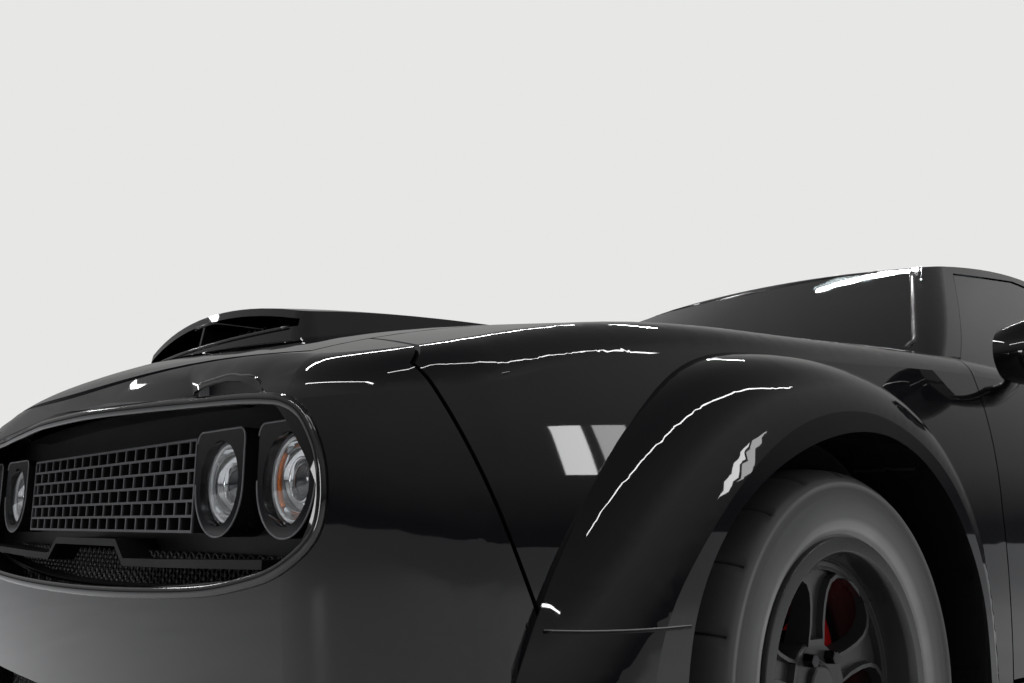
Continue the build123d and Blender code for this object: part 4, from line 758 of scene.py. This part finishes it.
strip_start = 0.455
strip_end = 0.697
strip_overlap = 0.003
traced = [(x, z, *carried_depth(x, z)) for x, z in smooth_through(mouth_half, 5)]
bridge_start = max(i for i, point in enumerate(traced) if point[0] < strip_start and point[1] > 0.70)
bridge_end = min(i for i, point in enumerate(traced) if point[0] > strip_end)
x_start, x_end = traced[bridge_start][0], traced[bridge_end][0]
depth_start, depth_end = traced[bridge_start][3], traced[bridge_end][3]
mouth_path = []
strip_rows = []
for i, (x, z, edge, depth) in enumerate(traced):
    if bridge_start <= i <= bridge_end:
        depth = depth_start + (depth_end - depth_start) * (x - x_start) / (x_end - x_start)
        contact = max(edge, z) + strip_overlap
        contact_depth = skin_depth(x, contact) - 0.0006
        row = [(x, depth + (contact_depth - depth) * k / 6, z + (contact - z) * k / 6) for k in range(7)]
        row.append((x, skin_depth(x, contact + 0.004) - 0.0003, contact + 0.004))
        if i > bridge_start + 1:
            strip_rows.append(row)
    mouth_path.append((x, depth, z))
mouth_path += [(-x, depth, z) for x, depth, z in reversed(mouth_path[1:-1])]
ring_mesh = bmesh.new()
ring_stations = path_stations(mouth_path, (0, -1, 0), closed=True)
sweep_bar(ring_mesh, oval(ring_half_width, ring_height, 14), ring_stations, closed=True)
face_outwards(ring_mesh)
make_piece(ring_mesh, "mouth_ring", bezel_black, "body", "bezel_black")
strip_mesh = bmesh.new()
for side in (1, -1):
    grid = [[strip_mesh.verts.new((side * x, y, z)) for x, y, z in row] for row in strip_rows]
    for near, far in zip(grid, grid[1:]):
        for k in range(len(near) - 1):
            strip_mesh.faces.new((near[k], far[k], far[k + 1], near[k + 1]))
face_outwards(strip_mesh)
strip = make_piece(strip_mesh, "mouth_strips", paint, "body", "body_paint")
strip_wall = strip.modifiers.new("wall", "SOLIDIFY")
strip_wall.thickness = 0.003
strip_wall.offset = -1.0 if strip.data.polygons[0].normal.y < 0 else 1.0

# Honeycomb meshes: moulded black plastic, clipped in behind the slot under the grille and in the low
# intake. Hexagonal cells on a plane are opened by an inset and thickened into bars.
mesh_black = car_finish(
    "honeycomb_black", (0.004, 0.004, 0.004), (0.008, 0.008, 0.008), (0.35, 0.5), 0.00002, 5.0, 600.0
)
comb_thickness = 0.008


# Cells between two heights at one depth, bowed back towards the sides
def honeycomb(mesh, half_width, low, high, depth, cell, bar, bow=0.0):
    step_x = cell * 1.5
    step_z = cell * math.sqrt(3)
    columns = int(half_width / step_x)
    rows = int((high - low) / step_z) + 1
    upright = Matrix.Rotation(math.pi / 2, 4, "X")
    for column in range(-columns, columns + 1):
        for row in range(rows):
            z = low + (row + 0.5 * (column % 2)) * step_z
            if low <= z <= high:
                place = Matrix.Translation((column * step_x, depth, z)) @ upright
                bmesh.ops.create_circle(mesh, cap_ends=True, segments=6, radius=cell, matrix=place)
    bmesh.ops.remove_doubles(mesh, verts=mesh.verts[:], dist=cell * 0.05)
    cells = mesh.faces[:]
    bmesh.ops.inset_individual(mesh, faces=cells, thickness=bar / 2)
    bmesh.ops.delete(mesh, geom=cells, context="FACES_ONLY")
    for vert in mesh.verts:
        vert.co.y += bow * (vert.co.x / half_width) ** 2
    bmesh.ops.solidify(mesh, geom=mesh.faces[:], thickness=comb_thickness)
    face_outwards(mesh)


slot_mesh = bmesh.new()
honeycomb(slot_mesh, 0.60, 0.500, 0.560, -2.395, 0.0085, 0.0026, 0.02)
make_piece(slot_mesh, "slot_honeycomb", mesh_black, "body", "trim_black")
intake_mesh = bmesh.new()
honeycomb(intake_mesh, 0.585, 0.195, 0.345, -2.405, 0.0125, 0.0034, 0.03)
make_piece(intake_mesh, "intake_honeycomb", mesh_black, "body", "trim_black")

# Hood scoop: a gloss black moulded bead bonded along the crown and the sill of its mouth, and a plastic
# mesh set back inside. Both ride the hood.
scoop_crown = 0.992
scoop_drop = 0.042
scoop_bow = 0.300
scoop_low = 0.9475
scoop_half = 0.305
scoop_steps = 28
scoop_across = [-scoop_half + 2 * scoop_half * k / scoop_steps for k in range(scoop_steps + 1)]
crown_line = [(x, scoop_crown - scoop_drop * (x / scoop_bow) ** 2) for x in scoop_across]
sill_line = [(x, scoop_low) for x in scoop_across]
scoop_mesh = bmesh.new()
for line, wall_offset, bead_offset in ((crown_line, 0.004, 0.001), (sill_line, -0.002, -0.001)):
    bead_path = []
    for x, z in line:
        place, _ = panel_point("hood_scoop", (x, -3.0, z + wall_offset), (0, 1, 0))
        bead_path.append((x, place.y + 0.001, z + bead_offset))
    sweep_bar(scoop_mesh, oval(0.0042, 0.0048, 10), path_stations(bead_path, (0, -1, 0)))
face_outwards(scoop_mesh)
make_piece(scoop_mesh, "scoop_frame", bezel_black, "hood", "bezel_black")
comb_crown = 0.989
scoop_comb = bmesh.new()
honeycomb(scoop_comb, 0.285, 0.9500, 0.986, -2.175, 0.0105, 0.0030)
for vert in scoop_comb.verts:
    vert.co.z = min(vert.co.z, comb_crown - scoop_drop * (vert.co.x / scoop_bow) ** 2)
make_piece(scoop_comb, "scoop_honeycomb", mesh_black, "hood", "trim_black")

# Windshield trim: an extruded gloss black rubber bead pressed over the glass edge along both pillars and
# the header, rounded at the upper corners.
trim_rubber = car_finish(
    "gloss_black_rubber", (0.005, 0.005, 0.005), (0.008, 0.008, 0.008), (0.12, 0.2), 0.000004, 4.0, 500.0
)


# Top of the windshield under a point of the plan view, or None beside the glass
def glass_top(x, y):
    try:
        place, _ = panel_point("fixed_glass", (x, y, 1.6), (0, 0, -1))
    except ValueError:
        return None
    return place.z


# The last position still over the glass between one that is and one that isn't
def glass_edge(inside, outside):
    for _ in range(16):
        middle = ((inside[0] + outside[0]) / 2, (inside[1] + outside[1]) / 2)
        if glass_top(*middle) is None:
            outside = middle
        else:
            inside = middle
    return (*inside, glass_top(*inside))


pillar_foot_y = -0.795
pillar_step = 0.033
pillar_rows = [pillar_foot_y + pillar_step * k for k in range(13)]
pillar_path = [glass_edge((0.45, y), (0.95, y)) for y in pillar_rows]
header_half = [glass_edge((x, -0.50), (x, -0.15)) for x in (0.48, 0.42, 0.36, 0.24, 0.12, 0.0)]
glass_corner = Vector((0.5225, -0.3430, 1.3530))
corner_path = []
for share in (0.17, 0.33, 0.5, 0.67, 0.83):
    rising = Vector(pillar_path[-1]).lerp(glass_corner, share)
    crossing = glass_corner.lerp(Vector(header_half[0]), share)
    corner_path.append(tuple(rising.lerp(crossing, share)))
half_trim = pillar_path + corner_path + header_half
whole_trim = half_trim + [(-x, y, z) for x, y, z in reversed(half_trim[:-1])]
trim_mesh = bmesh.new()
sweep_bar(trim_mesh, oval(0.0075, 0.0035, 10, 0.001), path_stations(whole_trim, (0, -0.55, 0.83)))
face_outwards(trim_mesh)
make_piece(trim_mesh, "windshield_trim", trim_rubber, "body", "trim_black")

# Flare seams: across each front flare a dark gap with a painted highlight line above it, standing for light
# caught by the gap's edge, where the flare's lower part on the bumper meets its upper part.
seam_height = 0.484
seam_front = (0.926, 0.938, 0.950)
seam_side = (-2.186, -2.172, -2.155, -2.135, -2.115, -2.090, -2.060, -2.035, -2.016)
# The upper bead is a painted highlight: a light grey line where the seam's edge catches the light.
seam_painted_highlight_finish = car_finish("painted_seam_highlight", (0.10, 0.10, 0.10), (0.14, 0.14, 0.135), (0.3, 0.4), 0.0)
for name, lift, half_width, finish in (
    ("flare_seams", 0.0, 0.0018, tray_black),
    ("flare_seam_highlights", 0.0026, 0.0008, seam_painted_highlight_finish),
):
    seam_mesh = bmesh.new()
    z = seam_height + lift
    for side in (1, -1):
        rays = [((side * x, -3.0, z), (0, 1, 0)) for x in seam_front]
        rays += [((side * 1.5, y, z), (-side, 0, 0)) for y in seam_side]
        seam_path = [tuple(panel_point("wheel_flares", *ray)[0]) for ray in rays]
        sweep_bar(seam_mesh, oval(half_width, 0.0008, 8), path_stations(seam_path, (side, -0.5, 0)))
    face_outwards(seam_mesh)
    make_piece(seam_mesh, name, finish, "body", "trim_black")

# Wipers: pressed steel arms in satin black on pivots in the cowl, each with a rubber blade that lies on
# the windshield.
blade_section = [(-0.006, -0.008), (0.006, -0.008), (0.004, 0.006), (-0.004, 0.006)]
blade_lift = 0.009
arm_section = [(-0.008, -0.004), (0.008, -0.004), (0.007, 0.004), (-0.007, 0.004)]
pivot_y = -0.905
wiper_mesh = bmesh.new()
for pivot_x, tip_x in ((0.50, -0.08), (-0.08, -0.62)):
    blade_path = []
    for k in range(13):
        x = pivot_x + (tip_x - pivot_x) * (0.12 + 0.88 * k / 12)
        y = -0.845 + 0.045 * (k / 12) + 0.04 * (x / 0.7) ** 2
        place, normal = panel_point("fixed_glass", (x, y, 1.6), (0, 0, -1))
        blade_path.append(tuple(place + normal * blade_lift))
    sweep_bar(wiper_mesh, blade_section, path_stations(blade_path, (0, -0.4, 1)))
    arm_end = Vector(blade_path[6]) + Vector((0, 0, 0.010))
    arm_path = [
        (pivot_x, pivot_y, 1.030),
        (pivot_x - 0.02, -0.895, 1.046),
        tuple(Vector((pivot_x, -0.900, 1.046)).lerp(arm_end, 0.5) + Vector((0, 0, 0.008))),
        tuple(arm_end),
    ]
    sweep_bar(wiper_mesh, arm_section, path_stations(arm_path, (0, -0.4, 1)))
    add_stud(wiper_mesh, Matrix.Translation((pivot_x, pivot_y, 1.032)), 0.014, 0.012, 0.020)
face_outwards(wiper_mesh)
ease_edges([make_piece(wiper_mesh, "wipers", trim, "body", "trim_black")], 0.0012)

# Door handles: body-coloured grips bolted to the doors, each standing off a shallow dark cup that leaves
# room for the fingers.
handle_y = 0.415
handle_z = 0.815
handle_half = 0.095
cup_size = (0.0016, 0.066, 0.026)
for side, door in ((1, "door_left"), (-1, "door_right")):
    handle_mesh = bmesh.new()
    grip = []
    for k in range(9):
        share = k / 8
        y = handle_y - handle_half + 2 * handle_half * share
        place, normal = panel_point(door, (side * 1.5, y, handle_z), (-side, 0, 0))
        lift = 0.004 + 0.022 * math.sin(math.pi * share) ** 0.6
        grip.append(tuple(place + normal * lift))
    sweep_bar(handle_mesh, oval(0.015, 0.0075, 12), path_stations(grip, (side, 0, 0)))
    face_outwards(handle_mesh)
    make_piece(handle_mesh, door + "_handle", paint, door, "body_paint")
    cup_mesh = bmesh.new()
    place, _ = panel_point(door, (side * 1.5, handle_y, handle_z), (-side, 0, 0))
    cup_place = Matrix.Translation(place) @ Matrix.Diagonal((*cup_size, 1))
    bmesh.ops.create_uvsphere(cup_mesh, u_segments=32, v_segments=16, radius=1.0, matrix=cup_place)
    make_piece(cup_mesh, door + "_cup", trim, door, "trim_black")

# Mirror glass: a silvered plate with rounded corners, clipped to the rear face of each mirror head, which
# swings with its door.
mirror_size = (0.125, 0.004, 0.078)
mirror_corner = 0.028
mirror_silver = car_finish(
    "mirror_silver", (0.75, 0.77, 0.78), (0.8, 0.82, 0.83), (0.02, 0.03), 0.0, 3.0, 300.0, 1.0
)
for side, door, mirror in ((1, "door_left", "mirror_left"), (-1, "door_right", "mirror_right")):
    place, _ = panel_point(mirror, (side * 1.010, 0.0, 0.992), (0, -1, 0))
    plate_mesh = bmesh.new()
    add_block(plate_mesh, Matrix.Translation(place + Vector((0, 0.0015, 0))), mirror_size)
    upright = [edge for edge in plate_mesh.edges if abs(edge.verts[0].co.y - edge.verts[1].co.y) > 0.003]
    bmesh.ops.bevel(
        plate_mesh, geom=upright, offset=mirror_corner, segments=8, profile=0.5, affect="EDGES", material=-1
    )
    face_outwards(plate_mesh)
    ease_edges([make_piece(plate_mesh, mirror + "_glass", mirror_silver, door, "window_glass")], 0.0008)

# Tail lamps: moulded red lenses seated in the rear fascia, with fine upright ribs that a bump of bands
# lays behind the surface.
red_lens = car_finish(
    "red_lens", (0.060, 0.0006, 0.001), (0.085, 0.001, 0.0015), (0.03, 0.06), 0.0, 5.0, 300.0, ior=1.4
)
lens_nodes = red_lens.node_tree.nodes
rib_place = lens_nodes.new("ShaderNodeTexCoord")
ribs = lens_nodes.new("ShaderNodeTexWave")
ribs.wave_type = "BANDS"
ribs.bands_direction = "X"
ribs.inputs["Scale"].default_value = 40.0
rib_bump = lens_nodes.new("ShaderNodeBump")
rib_bump.inputs["Distance"].default_value = 0.0004
wire(rib_place, "Object", ribs, "Vector")
wire(ribs, "Fac", rib_bump, "Height")
wire(rib_bump, "Normal", lens_nodes["Principled BSDF"], "Normal")
coat(red_lens, "tail_lamps")

# Exhaust tips: polished steel ends welded over the pipes' outlets, one each side, turned with a rolled
# rim. Points are depth and radius about the pipe's axis.
tip_height = 0.262
tip_points = [
    (2.350, 0.0525), (2.4600, 0.0535), (2.4680, 0.0545), (2.4705, 0.0520), (2.4680, 0.0490),
    (2.380, 0.0480),
]
tip_mesh = bmesh.new()
for x in (-0.430, 0.430):
    turn_about_depth(tip_mesh, tip_points, x, tip_height)
face_outwards(tip_mesh)
polished = car_finish(
    "polished_tips", (0.55, 0.55, 0.54), (0.62, 0.62, 0.61), (0.06, 0.12), 0.0, 6.0, 300.0, 1.0
)
make_piece(tip_mesh, "exhaust_tips", polished, "body", "exhaust_steel")

# Rear plate: a blank pressed aluminium plate with a raised border, painted pale and held to the fascia by
# two black screws.
plate_height = 0.480
plate_size = (0.305, 0.002, 0.152)
plate_place, _ = panel_point("rear_fascia", (0.0, 3.0, plate_height), (0, -1, 0))
plate_mesh = bmesh.new()
add_block(plate_mesh, Matrix.Translation((0, plate_place.y + 0.002, plate_height)), plate_size)
face_out = [face for face in plate_mesh.faces if face.normal.y > 0.9]
bmesh.ops.inset_region(plate_mesh, faces=face_out, thickness=0.006)
bmesh.ops.inset_region(plate_mesh, faces=face_out, thickness=0.0015, depth=-0.0008)
plate_white = car_finish("blank_plate", (0.55, 0.55, 0.54), (0.6, 0.6, 0.59), (0.3, 0.4), 0.0)
ease_edges([make_piece(plate_mesh, "rear_plate", plate_white, "body", "trim_black")], 0.0004)
screw_mesh = bmesh.new()
for x in (-0.0889, 0.0889):
    screw_place = Matrix.Translation((x, plate_place.y + 0.005, 0.520))
    add_stud(screw_mesh, screw_place @ Matrix.Rotation(-math.pi / 2, 4, "X"), 0.0065, 0.005, 0.004)
make_piece(screw_mesh, "plate_screws", nut_finish, "body", "trim_black")

# Front seats: foam under black leather, bolted to the floor, each with a cushion, a backrest, side
# bolsters and a head restraint. Blocks with cut edges are smoothed into cushions.
leather = car_finish(
    "black_leather", (0.010, 0.010, 0.011), (0.018, 0.018, 0.018), (0.42, 0.56), 0.00015, 5.0, 450.0
)


# A block whose edges are cut back, ready for smoothing into a cushion
def cushion_block(mesh, place, size, cut=0.030):
    made = add_block(mesh, place, size)
    edges = list({edge for vert in made["verts"] for edge in vert.link_edges})
    bmesh.ops.bevel(mesh, geom=edges, offset=cut, segments=1, profile=0.5, affect="EDGES", material=-1)


# Cushion blocks become one smoothed and padded leather piece
def upholster(mesh, name, stands_for):
    face_outwards(mesh)
    seat = make_piece(mesh, name, leather, "body", "seat_leather", stands_for)
    rounding = seat.modifiers.new("rounding", "SUBSURF")
    rounding.levels = 2
    rounding.render_levels = 2


back_lean = Matrix.Rotation(math.radians(-20), 4, "X")
for side, label in ((1, "left"), (-1, "right")):
    seat_mesh = bmesh.new()
    seat_x = side * 0.370
    base = Matrix.Translation((seat_x, -0.075, 0.415)) @ Matrix.Rotation(math.radians(5), 4, "X")
    cushion_block(seat_mesh, base, (0.290, 0.440, 0.130))
    for edge_x in (-0.190, 0.190):
        cushion_block(seat_mesh, base @ Matrix.Translation((edge_x, 0.0, 0.012)), (0.085, 0.450, 0.150))
    cushion_block(seat_mesh, Matrix.Translation((seat_x, -0.070, 0.275)), (0.440, 0.460, 0.150))
    back = Matrix.Translation((seat_x, 0.265, 0.745)) @ back_lean
    cushion_block(seat_mesh, back, (0.290, 0.110, 0.560))
    for edge_x in (-0.190, 0.190):
        cushion_block(seat_mesh, back @ Matrix.Translation((edge_x, -0.018, -0.010)), (0.085, 0.140, 0.540))
    cushion_block(seat_mesh, Matrix.Translation((seat_x, 0.390, 1.085)) @ back_lean, (0.240, 0.090, 0.150))
    upholster(seat_mesh, "seat_" + label, "front_seats")

# Rear bench: one moulded foam bench under the same leather, pressed into the floor, with two seat pads,
# two backrests and a low bridge over the tunnel.
pad_lean = Matrix.Rotation(math.radians(-3), 4, "X")
rest_lean = Matrix.Rotation(math.radians(-17), 4, "X")
bench_mesh = bmesh.new()
for x in (-0.30, 0.30):
    cushion_block(bench_mesh, Matrix.Translation((x, 0.830, 0.400)) @ pad_lean, (0.540, 0.440, 0.130), 0.035)
    cushion_block(bench_mesh, Matrix.Translation((x, 1.190, 0.690)) @ rest_lean, (0.540, 0.120, 0.520), 0.035)
cushion_block(bench_mesh, Matrix.Translation((0, 0.850, 0.385)), (0.110, 0.420, 0.080), 0.020)
upholster(bench_mesh, "rear_bench", "rear_seat")

# Dashboard and steering wheel: grained soft plastic, screwed to the bulkhead and the column. Four round
# vents with slats are clipped into the dashboard's face.
cabin_plastic = car_finish(
    "grained_cabin_plastic", (0.012, 0.012, 0.013), (0.018, 0.018, 0.019), (0.5, 0.62), 0.0001, 4.0, 700.0
)
coat(cabin_plastic, "dashboard", "steering_wheel")
slat_size = (0.066, 0.003, 0.014)
dash_mesh = bmesh.new()
for vent_x in (-0.62, -0.10, 0.10, 0.62):
    vent = Matrix.Translation((vent_x, -0.528, 0.905)) @ Matrix.Rotation(math.radians(-56), 4, "X")
    add_stud(dash_mesh, vent, 0.040, 0.036, 0.020, 32, capped=False)
    for slat in (-0.018, 0.0, 0.018):
        add_block(dash_mesh, vent @ Matrix.Translation((0, slat, 0)), slat_size)
face_outwards(dash_mesh)
ease_edges([make_piece(dash_mesh, "dash_vents", trim, "body", "cabin_trim")], 0.0008)

# Studio floor: one plain pale sheet under the car, wide enough to meet the backdrop far away. It keeps
# the car's shadow.
floor_mesh = bmesh.new()
bmesh.ops.create_grid(floor_mesh, x_segments=1, y_segments=1, size=150.0)
floor_data = bpy.data.meshes.new("studio_floor")
floor_mesh.to_mesh(floor_data)
floor_mesh.free()
studio_floor = bpy.data.objects.new("studio_floor", floor_data)
bpy.context.scene.collection.objects.link(studio_floor)
floor_data.materials.append(car_finish("pale_floor", (0.62, 0.62, 0.62), (0.68, 0.68, 0.68), (0.5, 0.6), 0.0))

# Studio walls and ceiling: the camera sees an even pale backdrop. Gloss and glass see a room that is pale
# above and falls off to a dark band at eye level, so that upright panels stay black; scattered light is
# an even soft grey.
world = bpy.data.worlds.new("studio")
bpy.context.scene.world = world
world.use_nodes = True
world_nodes = world.node_tree.nodes
sky_place = world_nodes.new("ShaderNodeTexCoord")
sky_axes = world_nodes.new("ShaderNodeSeparateXYZ")
sky_ramp = world_nodes.new("ShaderNodeValToRGB")
sky_ramp.color_ramp.elements[0].position = 0.03
sky_ramp.color_ramp.elements[0].color = (0.035, 0.036, 0.040, 1.0)
sky_ramp.color_ramp.elements[1].position = 1.0
sky_ramp.color_ramp.elements[1].color = (0.10, 0.10, 0.105, 1.0)
for position, tone in ((0.14, 0.20), (0.30, 0.32), (0.48, 0.40), (0.66, 0.20)):
    element = sky_ramp.color_ramp.elements.new(position)
    element.color = (tone, tone, tone * 0.985, 1.0)
wire(sky_place, "Generated", sky_axes, "Vector")
wire(sky_axes, "Z", sky_ramp, "Fac")
seen_by = world_nodes.new("ShaderNodeLightPath")
soft = world_nodes["Background"]
soft.inputs["Color"].default_value = (0.62, 0.63, 0.65, 1.0)
soft.inputs["Strength"].default_value = 1.1
mirrored = world_nodes.new("ShaderNodeBackground")
wire(sky_ramp, "Color", mirrored, "Color")
pale = world_nodes.new("ShaderNodeBackground")
pale.inputs["Color"].default_value = (0.80, 0.80, 0.79, 1.0)
gloss_or_clear = world_nodes.new("ShaderNodeMath")
gloss_or_clear.operation = "MAXIMUM"
wire(seen_by, "Is Glossy Ray", gloss_or_clear, 0)
wire(seen_by, "Is Transmission Ray", gloss_or_clear, 1)
in_gloss = world_nodes.new("ShaderNodeMixShader")
wire(gloss_or_clear, "Value", in_gloss, "Fac")
wire(soft, "Background", in_gloss, 1)
wire(mirrored, "Background", in_gloss, 2)
in_view = world_nodes.new("ShaderNodeMixShader")
wire(seen_by, "Is Camera Ray", in_view, "Fac")
wire(in_gloss, "Shader", in_view, 1)
wire(pale, "Background", in_view, 2)
wire(in_view, "Shader", world_nodes["World Output"], "Surface")

# Studio lamps, by the ends of their middle line, their width, the point that they face and their power.
# The box and the fill light the car and don't show in it; the tubes and panes draw its highlights.
hidden_in_gloss = ("ceiling_box", "left_fill")
for name, start, end, width, target, power in (
    ("ceiling_box", (-2.2, 2.5, 5.0), (0.3, 2.5, 5.0), 2.5, (0.0, 1.0, 0.0), 90.0),
    ("left_tube", (1.75, -4.2, 4.0), (3.5, 2.6, 4.0), 0.07, (0.85, -2.0, 0.8), 40.0),
    ("right_tube", (-1.6, -3.5, 3.4), (-1.6, 0.8, 3.4), 0.06, (-0.2, -1.6, 0.9), 36.0),
    ("nose_tube", (-1.8, -5.6, 3.4), (2.2, -5.6, 3.4), 0.06, (0.1, -2.3, 0.7), 36.0),
    ("rear_tube", (-1.4, 1.38, 4.0), (-0.35, 1.38, 4.0), 0.03, (0.4, -0.46, 1.3), 12.0),
    ("far_tube", (-4.35, -3.1, 2.6), (-4.15, -4.0, 2.6), 0.08, (0.27, -2.48, 0.8), 5.0),
    ("left_pane", (5.293, 3.138, 2.1), (5.494, 2.953, 2.1), 0.85, (0.9, -2.1, 0.7), 4.0),
    ("right_pane", (5.566, 2.887, 2.1), (5.767, 2.702, 2.1), 0.85, (0.9, -2.1, 0.7), 8.0),
    ("front_pane", (-0.38, -6.24, 0.85), (0.22, -6.39, 0.85), 0.7, (0.7, -2.4, 0.65), 16.0),
    ("left_fill", (5.5, -5.5, 2.6), (5.5, 1.5, 2.6), 2.5, (0.9, -1.8, 0.5), 90.0),
):
    lamp = bpy.data.lights.new(name, "AREA")
    lamp.shape = "RECTANGLE"
    middle_line = Vector(end) - Vector(start)
    lamp.size = middle_line.length
    lamp.size_y = width
    lamp.energy = power
    middle = (Vector(start) + Vector(end)) / 2
    along = middle_line.normalized()
    back = middle - Vector(target)
    back = (back - along * back.dot(along)).normalized()
    across = back.cross(along)
    holder = bpy.data.objects.new(name, lamp)
    holder.matrix_world = Matrix.Translation(middle) @ Matrix((along, across, back)).transposed().to_4x4()
    holder.visible_glossy = name not in hidden_in_gloss
    holder.visible_transmission = name not in hidden_in_gloss
    holder.visible_diffuse = name != "front_pane"
    bpy.context.scene.collection.objects.link(holder)
